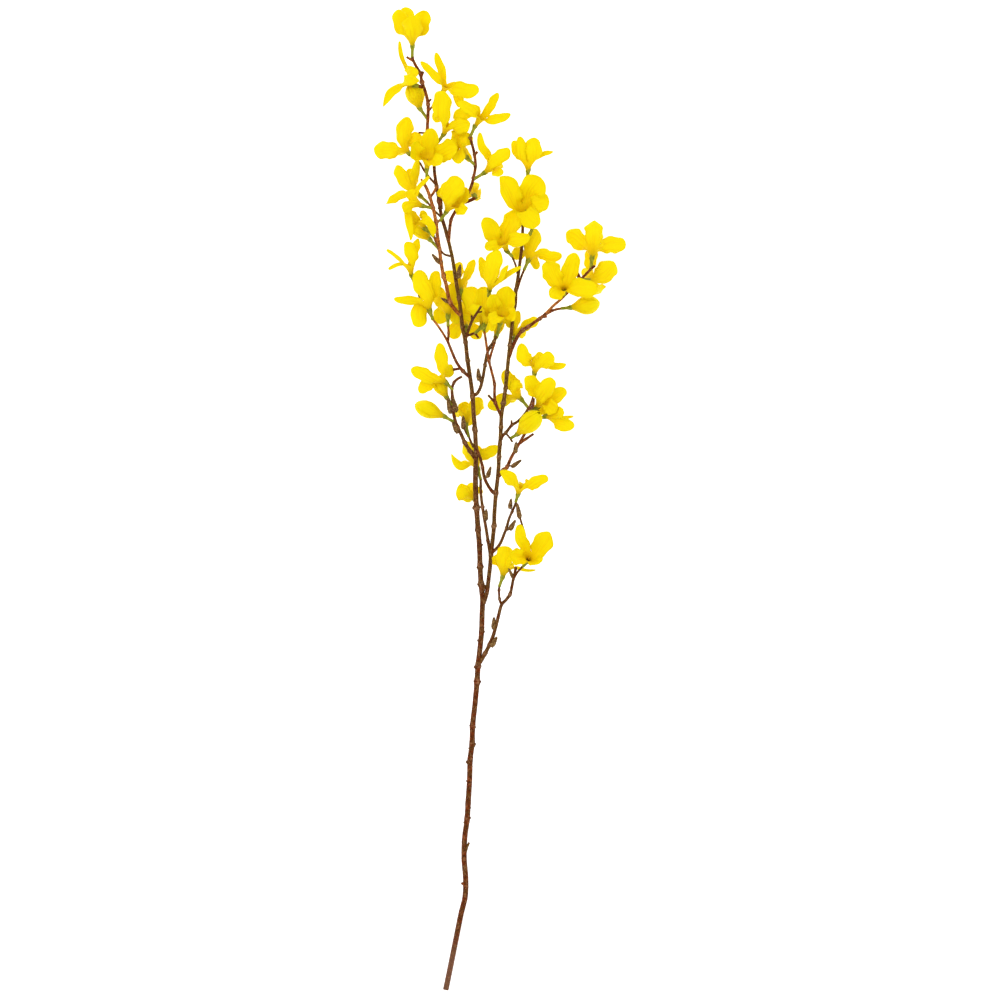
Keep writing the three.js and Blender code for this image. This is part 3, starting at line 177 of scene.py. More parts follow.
    [1, 0.9, RUSSET, RUSSET, [[529, 408.5, 42.5], [533, 396, 39.5], [534.2, 384, 42],
     [534.5, 379.5, 43.5]]],
    [1, 0.9, BROWN, BROWN, [[527, 411, 43], [535, 417.5, 41.5], [540.5, 418, 43]]],
    # red twig with buds
    [1.9, 1.4, RUSSET, RUSSET, [[499, 476, 37.5], [503, 470.5, 39, 1.3], [507, 467, 40.5, 1.3],
     [511, 458, 42], [515.5, 450, 44, 1.2], [519.5, 443, 45.5], [523.5, 436, 46.5], [526.5, 431.5, 47]]],
    [1.4, 1.3, RUSSET, RUSSET, [[519, 444, 45.5], [526, 439, 48, 1.2], [533.5, 434, 50]]],
    [0.9, 0.8, DARK, DARK, [[508, 465.8, 40.8], [514, 466, 43]]],
    # short branch between the two main ones
    [1.8, 1.4, DARK, DARK, [[497, 493.5, 36.5], [493, 492, 37, 1.2], [489, 487, 37], [484.5, 478, 36.5],
     [482.5, 467, 35.5, 1.3], [480.5, 459, 34.5], [477.5, 450, 31]]],
    [0.8, 0.7, BROWN, BROWN, [[485, 479, 36.5], [487.5, 476.5, 38]]],
    # left twig of the right main branch
    [1.7, 1.3, BROWN, BROWN, [[490.5, 556, 26], [488, 541, 28, 1.15], [486, 528, 28.5], [484, 517, 28.5],
     [482.5, 507, 28, 1.4], [481, 495, 27], [480.7, 486, 26, 1.2], [480.5, 479, 25]]],
    [1.1, 0.9, BROWN, BROWN, [[482.5, 507, 28], [479, 507, 19], [478, 505, 16.5]]],
    # right twig of the right main branch
    [1.7, 1.2, BROWN, BROWN, [[491.5, 553, 27], [497, 548, 29], [501, 542, 31], [504, 534.5, 33],
     [506.5, 528, 35, 1.2], [509, 519, 37], [512, 512, 39, 1.2], [515, 505, 41.5], [516, 501, 43]]],
    [0.8, 0.7, BROWN, BROWN, [[506.5, 530.5, 35], [510.5, 529, 37]]],
    [0.8, 0.7, BROWN, BROWN, [[512.5, 510.5, 39], [510.5, 507.5, 40]]],
    # branch low on the right
    [2.1, 1.5, BROWN, BROWN, [[480, 663, 15.5], [485, 654, 18, 1.2], [489.5, 645, 21, 1.2],
     [493.5, 635, 24], [496.5, 624, 27], [499, 614, 30], [501.5, 605, 32], [506, 600, 34],
     [510, 594.5, 36, 1.4], [512, 586, 38], [513.5, 578, 40, 1.2]]],
    [1.2, 1, DARK, DARK, [[513.5, 579, 40], [518, 571.5, 42], [523.5, 566, 44]]],
    [1.5, 1.4, DARK, DARK, [[513.8, 578, 40], [516, 567, 42]]],
    [1.3, 1.1, DARK, DARK, [[501.5, 605.5, 32], [499.5, 599, 34, 1.3], [499, 590, 35, 1.4],
     [499.5, 586, 36]]],
    [0.9, 1.1, BROWN, BROWN, [[519.5, 570, 42.5], [526, 560, 40], [526.5, 547, 40], [525, 534, 42],
     [522.5, 526, 43], [520, 518, 44]]],
    # stubs and knobs, most of them on the lower stem
    [1.5, 1.1, OLIVE, OLIVE, [[465.5, 853, 7.5], [467, 848, 9], [469, 843.8, 10]]],
    [1.6, 1.3, RUSSET, RUSSET, [[465.5, 887, 6], [461.5, 884.5, 8]]],
    [1.9, 1.6, BROWN, BROWN, [[478, 669, 15], [474.3, 667, 17]]],
    [1.9, 1.1, BROWN, BROWN, [[466.8, 826, 8], [463.9, 822.8, 9.5]]],
    [1.8, 1.1, BROWN, BROWN, [[467.5, 822, 8], [470.2, 818.3, 9.5]]],
    [1.7, 1.1, BROWN, BROWN, [[468, 811, 9], [470.4, 808, 10]]],
    [1.7, 1.1, BROWN, BROWN, [[468.5, 808, 9], [465.9, 805.8, 10]]],
    [1.3, 0.7, DARK, DARK, [[469, 784, 10], [466, 781.5, 11]]],
    [2.3, 1.8, BROWN, BROWN, [[470, 765, 11], [466.6, 762, 13]]],
    [1.9, 1.1, BROWN, BROWN, [[472.5, 748, 12], [475.4, 744, 13.5]]],
    [1.9, 1.2, BROWN, BROWN, [[471.5, 751, 12], [468.9, 748.3, 13.5]]],
    [1.5, 0.9, BROWN, BROWN, [[472.5, 730, 12.5], [469.7, 725.5, 13.5]]],
    [1.4, 0.8, BROWN, BROWN, [[473, 730, 12.5], [475.6, 727.3, 13.5]]],
    [1.6, 1, BROWN, BROWN, [[476.5, 686, 14], [474, 681, 15.5]]],
    [1.6, 1, BROWN, BROWN, [[477.5, 686, 14], [480.6, 681.5, 15.5]]],
    [1.5, 0.9, BROWN, BROWN, [[480, 644, 16], [477.6, 640, 17.5]]],
    [1.4, 0.9, BROWN, BROWN, [[481.5, 636, 17], [484.4, 631.5, 18.5]]],
    [1.5, 0.9, BROWN, BROWN, [[480.5, 588, 20], [477.5, 584, 21.5]]],
    [1.5, 0.9, BROWN, BROWN, [[480, 571, 21], [476.8, 567, 22.5]]],
    [1.5, 0.9, BROWN, BROWN, [[479.5, 549, 22], [482.4, 544, 23.5]]],
    [2.6, 1.6, DARK, DARK, [[440.3, 209, 42.5], [440.8, 195.5, 44]]],
    [1.6, 1.2, BROWN, BROWN, [[483, 592, 20], [485, 585, 21.5]]],
    [2.2, 1.9, BROWN, BROWN, [[476.5, 509, 24.5], [473, 507, 26]]],
]


def place(plan):
    across, down, height = plan
    return Vector((across - PLAN_MIDDLE[0], PLAN_MIDDLE[1] - down, height)) * MM


def unit_from(start, end):
    return (end - start).normalized()


def smooth_through(points, step):
    """Places on a smooth line through the given ones, each with its share of the way along them."""
    line = []
    for i in range(len(points) - 1):
        a, b = points[i], points[i + 1]
        before = points[i - 1] if i > 0 else a * 2 - b
        after = points[i + 2] if i + 2 < len(points) else b * 2 - a
        count = max(1, round((b - a).length / step))
        for j in range(count):
            t = j / count
            place_here = (
                2 * a
                + (b - before) * t
                + (2 * before - 5 * a + 4 * b - after) * t * t
                + (3 * a - before - 3 * b + after) * t ** 3
            ) / 2
            line.append((place_here, i + t))
    line.append((points[-1], len(points) - 1))
    return line


def feed(tree, socket, value):
    """Sets a socket to a value, or links it to an output or to a node's first output."""
    if isinstance(value, bpy.types.Node):
        value = value.outputs[0]
    if isinstance(value, bpy.types.NodeSocket):
        tree.links.new(value, socket)
    else:
        socket.default_value = value


def add_node(tree, kind, inputs=(), **settings):
    """A node of a tree with its settings, and its inputs by name or number, as feed takes them."""
    made = tree.nodes.new(kind)
    for setting, value in settings.items():
        setattr(made, setting, value)
    for socket, value in dict(inputs).items():
        feed(tree, made.inputs[socket], value)
    return made


def geometry_tree(name, inputs):
    """A Geometry Nodes tree with inputs as {name: kind}, its two ends, and what adds its nodes."""
    tree = bpy.data.node_groups.new(name, "GeometryNodeTree")
    for socket, kind in {"Geometry": "Geometry", **inputs}.items():
        tree.interface.new_socket(socket, in_out="INPUT", socket_type="NodeSocket" + kind)
    tree.interface.new_socket("Geometry", in_out="OUTPUT", socket_type="NodeSocketGeometry")
    given, out = tree.nodes.new("NodeGroupInput").outputs, tree.nodes.new("NodeGroupOutput")
    return tree, given, out.inputs[0], partial(add_node, tree)


def in_scene(name, data):
    thing = bpy.data.objects.new(name, data)
    bpy.context.collection.objects.link(thing)
    return thing


def grown(name, guide, tree, values):
    """The plain mesh that a tree makes of its guide, as a new object; the guide goes."""
    modifier = guide.modifiers.new(name, "NODES")
    modifier.node_group = tree
    for item in tree.interface.items_tree:
        if item.in_out == "INPUT" and item.name in values:
            modifier[item.identifier] = values[item.name]
    bpy.context.view_layer.update()
    evaluated = guide.evaluated_get(bpy.context.evaluated_depsgraph_get())
    mesh = bpy.data.meshes.new_from_object(evaluated)
    bpy.data.objects.remove(guide)
    for slot in reversed(range(len(mesh.materials))):
        if mesh.materials[slot] is None:  # left over from the forms that the tree started from
            mesh.materials.pop(index=slot)
    return in_scene(name, mesh)


def guide_lines(name, lines):
    """Guide edges through lines of (place, {attribute: value}), for a tree to follow."""
    verts, edges, values = [], [], {}
    for line in lines:
        first = len(verts)
        for point, given in line:
            verts.append(point)
            for key, value in given.items():
                values.setdefault(key, []).append(value)
        edges += [(i, i + 1) for i in range(first, len(verts) - 1)]
    mesh = bpy.data.meshes.new(name)
    mesh.from_pydata(verts, edges, [])
    for key, column in values.items():
        mesh.attributes.new(key, "FLOAT", "POINT").data.foreach_set("value", column)
    return in_scene(name, mesh)


def round_wood(name):
    """Tree that sheathes guide lines in bark, with relief and, where asked for, warts."""
    tree, given, out, node = geometry_tree(name, {
        "Sides": "Int", "Relief": "Float", "Relief Scale": "Float", "Bark": "Material",
        "Wart": "Material", "Warts": "Float", "Smallest Wart": "Float", "Largest Wart": "Float",
        "Seed": "Int"})
    line = node("GeometryNodeMeshToCurve", {"Mesh": given["Geometry"]})
    ring = node("GeometryNodeCurvePrimitiveCircle", {"Resolution": given["Sides"], "Radius": 1.0})
    factor = node("GeometryNodeSplineParameter")
    turn = node("ShaderNodeMath", {0: factor, 1: 2 * math.pi}, operation="MULTIPLY")
    for key, wave in (("around_x", "COSINE"), ("around_y", "SINE")):
        value = node("ShaderNodeMath", {0: turn}, operation=wave)
        ring = node("GeometryNodeStoreNamedAttribute", {"Geometry": ring, "Name": key, "Value": value},
                    data_type="FLOAT", domain="POINT")
    thickness = node("GeometryNodeInputNamedAttribute", {"Name": "thickness"})
    wood = node("GeometryNodeCurveToMesh", {
        "Curve": line, "Profile Curve": ring, "Scale": thickness, "Fill Caps": True})
    noise = node("ShaderNodeTexNoise", {
        "Vector": node("GeometryNodeInputPosition"), "Scale": given["Relief Scale"],
        "Detail": RELIEF_DETAIL})
    height = node("ShaderNodeMath", {0: noise, 1: 0.5}, operation="SUBTRACT")
    height = node("ShaderNodeMath", {0: height, 1: given["Relief"]}, operation="MULTIPLY")
    normal = node("GeometryNodeInputNormal")
    offset = node("ShaderNodeVectorMath", {0: normal, "Scale": height}, operation="SCALE")
    wood = node("GeometryNodeSetPosition", {"Geometry": wood, "Offset": offset})
    seats = node("GeometryNodeDistributePointsOnFaces", {
        "Mesh": wood, "Density": given["Warts"], "Seed": given["Seed"]})
    wart = node("GeometryNodeMeshIcoSphere", {"Radius": 1.0, "Subdivisions": 1})
    wart = node("GeometryNodeStoreNamedAttribute", {"Geometry": wart, "Name": "wart", "Value": True},
                data_type="BOOLEAN", domain="FACE")
    size = node("FunctionNodeRandomValue", {
        "Seed": given["Seed"], 2: given["Smallest Wart"], 3: given["Largest Wart"]}, data_type="FLOAT")
    warts = node("GeometryNodeInstanceOnPoints", {
        "Points": seats, "Instance": wart, "Rotation": seats.outputs["Rotation"],
        "Scale": size.outputs[1]})
    both = node("GeometryNodeJoinGeometry")
    for part in (wood, warts):
        feed(tree, both.inputs[0], part)
    smooth = node("GeometryNodeSetShadeSmooth", {"Geometry": both})
    real = node("GeometryNodeRealizeInstances", {"Geometry": smooth})
    bark = node("GeometryNodeSetMaterial", {"Geometry": real, "Material": given["Bark"]})
    is_wart = node("GeometryNodeInputNamedAttribute", {"Name": "wart"}, data_type="BOOLEAN")
    feed(tree, out, node("GeometryNodeSetMaterial", {
        "Geometry": bark, "Selection": is_wart, "Material": given["Wart"]}))
    return tree


def wood_line(route, number):
    """The rings of one route: where they are, how thick, their bark and how near a node they are."""
    start_radius, end_radius, bark_start, bark_end, places = route
    points = [place(entry[:3]) for entry in places]
    last = len(points) - 1
    nodes = [(points[i], entry[3]) for i, entry in enumerate(places) if len(entry) > 3]
    line, along = [], number * PATTERN_SHIFT
    samples = smooth_through(points, STEP)
    for i, (point, share) in enumerate(samples):
        if i:
            along += (point - samples[i - 1][0]).length
        radius = (start_radius + (end_radius - start_radius) * share / last) * MM
        swelling = near = 0
        for centre, size in nodes:
            bulge = (size - 1) * math.exp(-((point - centre).length / (SWELLING_SPREAD * radius)) ** 2)
            swelling += bulge
            near = max(near, bulge)
        line.append((point, {
            "thickness": radius * (1 + swelling),
            "tone": bark_start + (bark_end - bark_start) * share / last,
            "node": near,
            "along": along,
        }))
    return line


def shader_group(name, inputs, output):
    """A shader node group with inputs as {name: value}, its two ends, and what adds its nodes."""
    tree = bpy.data.node_groups.new(name, "ShaderNodeTree")
    for socket, value in inputs.items():
        kind = "NodeSocketVector" if value is None else "NodeSocketFloat"
        made = tree.interface.new_socket(socket, in_out="INPUT", socket_type=kind)
        if value is not None:
            made.default_value = value
    tree.interface.new_socket(output, in_out="OUTPUT", socket_type="NodeSocketFloat")
    given, out = tree.nodes.new("NodeGroupInput").outputs, tree.nodes.new("NodeGroupOutput")
    return tree, given, out.inputs[0], partial(add_node, tree)


# fibres, veins and mottling: noise drawn out along the vector's third axis, as a mask from 0 to 1
STREAKS, given, out, node = shader_group(
    "streaks", {"Vector": None, "Across": 1.0, "Along": 1.0, "Low": 0.4, "High": 0.6}, "Mask")
across = node("ShaderNodeCombineXYZ", {"X": given["Across"], "Y": given["Across"], "Z": given["Along"]})
drawn = node("ShaderNodeVectorMath", {0: given["Vector"], 1: across}, operation="MULTIPLY")
noise = node("ShaderNodeTexNoise", {"Vector": drawn, "Scale": 1.0, "Detail": 4.0})
feed(STREAKS, out, node("ShaderNodeMapRange", {
    "Value": noise, "From Min": given["Low"], "From Max": given["High"]},
    interpolation_type="SMOOTHSTEP"))


def srgb(red, green, blue):
    """A colour by its screen values, for a shader."""
    light = [v / 255 for v in (red, green, blue)]
    return tuple(v / 12.92 if v <= 0.04045 else ((v + 0.055) / 1.055) ** 2.4 for v in light) + (1,)


def new_material(name, **fixed):
    """A material with its Principled BSDF, and that shader's values that are the same all over."""
    material = bpy.data.materials.new(name)
    material.use_nodes = True
    tree = material.node_tree
    shader = tree.nodes["Principled BSDF"]
    for socket, value in fixed.items():
        shader.inputs[socket.replace("_", " ")].default_value = value
    return material, tree, shader


def own_place(tree):
    return add_node(tree, "ShaderNodeTexCoord").outputs["Object"]


def attribute(tree, name):
    return add_node(tree, "ShaderNodeAttribute", attribute_name=name).outputs["Fac"]


def streaks(tree, vector, across, along, low, high):
    """The mask at a scale across and along, from none where the noise is low to full where it is high."""
    return add_node(tree, "ShaderNodeGroup", {
        "Vector": vector, "Across": across, "Along": along, "Low": low, "High": high}, node_tree=STREAKS)


def times(tree, first, second):
    return add_node(tree, "ShaderNodeMath", {0: first, 1: second}, operation="MULTIPLY")


def ranged(tree, value, low, high, at_low=0.0, at_high=1.0):
    """What goes evenly from one number where a value is low to another where it is high."""
    return add_node(tree, "ShaderNodeMapRange", {
        "Value": value, "From Min": low, "From Max": high, "To Min": at_low, "To Max": at_high})


def blended(tree, share, first, second, kind="MIX"):
    """Two colours mixed by a share."""
    return add_node(tree, "ShaderNodeMix", {0: share, 6: first, 7: second},
                    data_type="RGBA", blend_type=kind).outputs[2]


def stained(tree, base, mask, colour, strength):
    """A colour with another laid over it where the mask is, at some strength."""
    return blended(tree, times(tree, mask, strength), base, colour)


def ramp(tree, share, stops):
    """A colour read off a row of {place: colour}, in order."""
    made = add_node(tree, "ShaderNodeValToRGB", {"Fac": share})
    elements = made.color_ramp.elements
    while len(elements) < len(stops):
        elements.new(0.5)
    for element, (position, colour) in zip(elements, stops.items()):
        element.position, element.color = position, colour
    return made


def relief(tree, shader, height, distance, strength=1.0):
    """Fine relief of a shader from a mask, as deep as the distance."""
    feed(tree, shader.inputs["Normal"], add_node(tree, "ShaderNodeBump", {
        "Height": height, "Distance": distance, "Strength": strength}))


BARK_COLOURS = {
    OLIVE: srgb(104, 74, 18), BROWN: srgb(100, 60, 22), DARK: srgb(96, 42, 3),
    MAHOGANY: srgb(114, 46, 6), RUSSET: srgb(134, 66, 26), SALMON: srgb(160, 84, 26),
    ORANGE: srgb(202, 122, 54)}
# the darkest bark colour: partly the bark's own cracks, partly painted shade in the crevices
FIBRE, CRACK_AND_SHADE = srgb(170, 124, 80), srgb(52, 16, 1)
NODE_CORK, DRY_GREY = srgb(182, 138, 104), srgb(124, 88, 68)
WART_PALE, WART_BROWN = srgb(176, 132, 92), srgb(112, 70, 34)
PATCH_SCALE, PATCH_REDNESS = 0.17, 0.2  # how far a patch moves along the row of colours, each way
NODE_FROM, NODE_TO = 0.06, 0.25  # how swollen the wood is where cork begins and where it is full

bark, tree, shader = new_material("bark", Specular_IOR_Level=0.06)
grain = add_node(tree, "ShaderNodeCombineXYZ", {
    "X": attribute(tree, "around_x"), "Y": attribute(tree, "around_y"),
    "Z": times(tree, attribute(tree, "along"), PATTERN_UNITS)})
# it weathers in patches along each shoot, some redder and some greener than the rest
patches = add_node(tree, "ShaderNodeTexNoise", {"Vector": grain, "Scale": PATCH_SCALE, "Detail": 2.0})
patches = ranged(tree, patches, 0.3, 0.7, at_low=-PATCH_REDNESS, at_high=PATCH_REDNESS)
tone = add_node(tree, "ShaderNodeMath", {0: attribute(tree, "tone"), 1: patches}, operation="ADD")
fibres = streaks(tree, grain, across=1.4, along=0.28, low=0.48, high=0.62)
# dark streaks: partly the bark's own fissures, partly painted shade in its crevices
cracks_and_shade = streaks(tree, grain, across=2.2, along=0.5, low=0.5, high=0.6)
# the bark at swollen nodes is corky
corky = times(tree, streaks(tree, grain, across=1.1, along=0.7, low=0.46, high=0.56),
              ranged(tree, attribute(tree, "node"), NODE_FROM, NODE_TO))
aged_and_shaded = stained(tree, ramp(tree, tone, BARK_COLOURS), fibres, FIBRE, strength=0.4)
aged_and_shaded = stained(tree, aged_and_shaded, cracks_and_shade, CRACK_AND_SHADE, strength=0.8)
aged_and_shaded = stained(tree, aged_and_shaded, corky, NODE_CORK, strength=0.45)
# the stem has dried grey near the cut
down = add_node(tree, "ShaderNodeSeparateXYZ", {"Vector": own_place(tree)}).outputs["Y"]
aged_and_shaded = blended(tree, ranged(tree, down, DRIED_FROM, DRIED_TO, at_high=DRIED), aged_and_shaded, DRY_GREY)
feed(tree, shader.inputs["Base Color"], aged_and_shaded)
feed(tree, shader.inputs["Roughness"], ranged(tree, fibres, 0, 1, at_low=0.46, at_high=0.68))
relief(tree, shader, blended(tree, 0.5, fibres, cracks_and_shade, "DIFFERENCE"), FIBRE_DEPTH, strength=0.8)

wart, tree, shader = new_material("wart", Roughness=0.7)
spots = streaks(tree, own_place(tree), across=900.0, along=900.0, low=0.4, high=0.6)
feed(tree, shader.inputs["Base Color"], blended(tree, spots, WART_PALE, WART_BROWN))

sheathing = round_wood("sheathing")
lines = [wood_line(route, number) for number, route in enumerate(ROUTES)]
branch = grown("branch", guide_lines("branch_guide", lines), sheathing, {
    "Sides": BARK_SIDES, "Relief": BARK_RELIEF, "Relief Scale": BARK_RELIEF_SCALE, "Bark": bark,
    "Wart": wart, "Warts": WARTS_PER_SQUARE_METRE, "Smallest Wart": SMALLEST_WART,
    "Largest Wart": LARGEST_WART, "Seed": WART_SEED})
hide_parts("wood")
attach(branch, "root")


# ---- Cut end of the stem --------------------------------------------------------------------------
# Where the branch was cut with shears: pale fresh wood inside the bark, faint year rings, and the
# hollow pith that every forsythia stem has.

CUT_RADIUS = 2.86 * MM
PITH_RADIUS = 0.75 * MM
PITH_DEPTH = 0.75 * MM
CUT_SIDES = 32
CUT_PROUD = 0.06 * MM
CUT_SUNK = 0.8 * MM  # its rim reaches this far into the bark
# how far into the wood, and the radius there, from the rim to the bottom of the pith
CUT_SHAPE = [
    (CUT_SUNK, CUT_RADIUS * 0.9), (-CUT_PROUD * 0.4, CUT_RADIUS * 0.97),
    (-CUT_PROUD, CUT_RADIUS * 0.8), (-CUT_PROUD, CUT_RADIUS * 0.5), (-CUT_PROUD, PITH_RADIUS * 1.15),
    (0.1 * MM, PITH_RADIUS), (PITH_DEPTH, PITH_RADIUS * 0.8)]
RINGS_SCALE = 620.0
EARLY_WOOD, LATE_WOOD, CUT_SPECKLE = srgb(226, 204, 160), srgb(204, 176, 124), srgb(176, 142, 92)


def square_to(direction):
    """Two directions square to a third and to each other."""
    up = Vector((0, 0, 1)) if abs(direction.z) < 0.8 else Vector((0, 1, 0))
    side = up.cross(direction).normalized()
    return side, direction.cross(side)


def mesh_piece(name, verts, faces, material=None, smooth=True):
    mesh = bpy.data.meshes.new(name)
    mesh.from_pydata(verts, [], faces)
    mesh.polygons.foreach_set("use_smooth", [smooth] * len(mesh.polygons))
    if material:
        mesh.materials.append(material)
    return in_scene(name, mesh)


def turned_rings(centre, direction, profile, sides):
    """Verts and faces of a closed turned form through (distance along, radius) pairs."""
    side, over = square_to(direction)
    verts, faces = [], []
    for distance, radius in profile:
        for j in range(sides):
            turn = 2 * math.pi * j / sides
            verts.append(centre + direction * distance + side * radius * math.cos(turn)
                         + over * radius * math.sin(turn))
    for i in range(len(profile) - 1):
        for j in range(sides):
            k = (j + 1) % sides
            faces.append((i * sides + j, i * sides + k, (i + 1) * sides + k, (i + 1) * sides + j))
    faces.append(tuple(reversed(range(sides))))
    faces.append(tuple(range((len(profile) - 1) * sides, len(profile) * sides)))
    return verts, faces


stem_places = ROUTES[0][4]
cut_centre = place(stem_places[0])
cut_way = unit_from(cut_centre, place(stem_places[1]))

fresh_wood, tree, shader = new_material("fresh_wood", Roughness=0.75, Specular_IOR_Level=0.25)
centred = add_node(tree, "ShaderNodeMapping", {"Vector": own_place(tree), "Location": -cut_centre})
rings = add_node(tree, "ShaderNodeTexWave", {
    "Vector": centred, "Scale": RINGS_SCALE, "Distortion": 1.5, "Detail": 2.0}, wave_type="RINGS",
    rings_direction="SPHERICAL").outputs["Fac"]
speckle = streaks(tree, centred, across=2600.0, along=2600.0, low=0.45, high=0.7)
feed(tree, shader.inputs["Base Color"],
     stained(tree, blended(tree, rings, EARLY_WOOD, LATE_WOOD), speckle, CUT_SPECKLE, strength=0.4))

cut_end = mesh_piece(
    "cut_end", *turned_rings(cut_centre, cut_way, CUT_SHAPE, CUT_SIDES), fresh_wood)
shell = bmesh.new()  # turns every face outwards
shell.from_mesh(cut_end.data)
bmesh.ops.recalc_face_normals(shell, faces=shell.faces)
shell.to_mesh(cut_end.data)
shell.free()
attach(cut_end, "root")


# ---- Stalks and calyxes ---------------------------------------------------------------------------
# Each bloom stands on a short green stalk that widens into a cup, the calyx, with four pointed lobes
# lying against the foot of the corolla.

STALK_RADIUS = 1.6 * MM
CUP_RADIUS, CUP_LENGTH = 2.3 * MM, 4.0 * MM
CUP_WIDENS = 0.75  # share of the cup's length in which it widens
STALK_SIDES = 10
STALK_RELIEF = 0.06 * MM
STALK_STEP = 0.7 * MM
STALK_SUNK = 1 * MM  # into the wood that carries it
FINE_RELIEF_SCALE = 700.0
LOBE_LENGTH = 4.2 * MM
LOBE_START = 1.0 * MM  # below the end of the cup
LEAF_ROWS, LEAF_COLUMNS = 6, 4
LEAF_THICKNESS = 0.12  # in radii of what it lies on, as the next two are
LEAF_OUT, LEAF_KEEL = 1.02, 0.05  # from the middle of that, and how far its own middle stands out
LEAF_FOOT, LEAF_BELLY, BELLY_PACE = 0.8, 0.4, 1.4  # its width at the foot, how much it swells, how soon
OLIVE_GREEN, YELLOW_GREEN, PALE_GREEN = srgb(120, 126, 18), srgb(154, 154, 44), srgb(172, 172, 84)

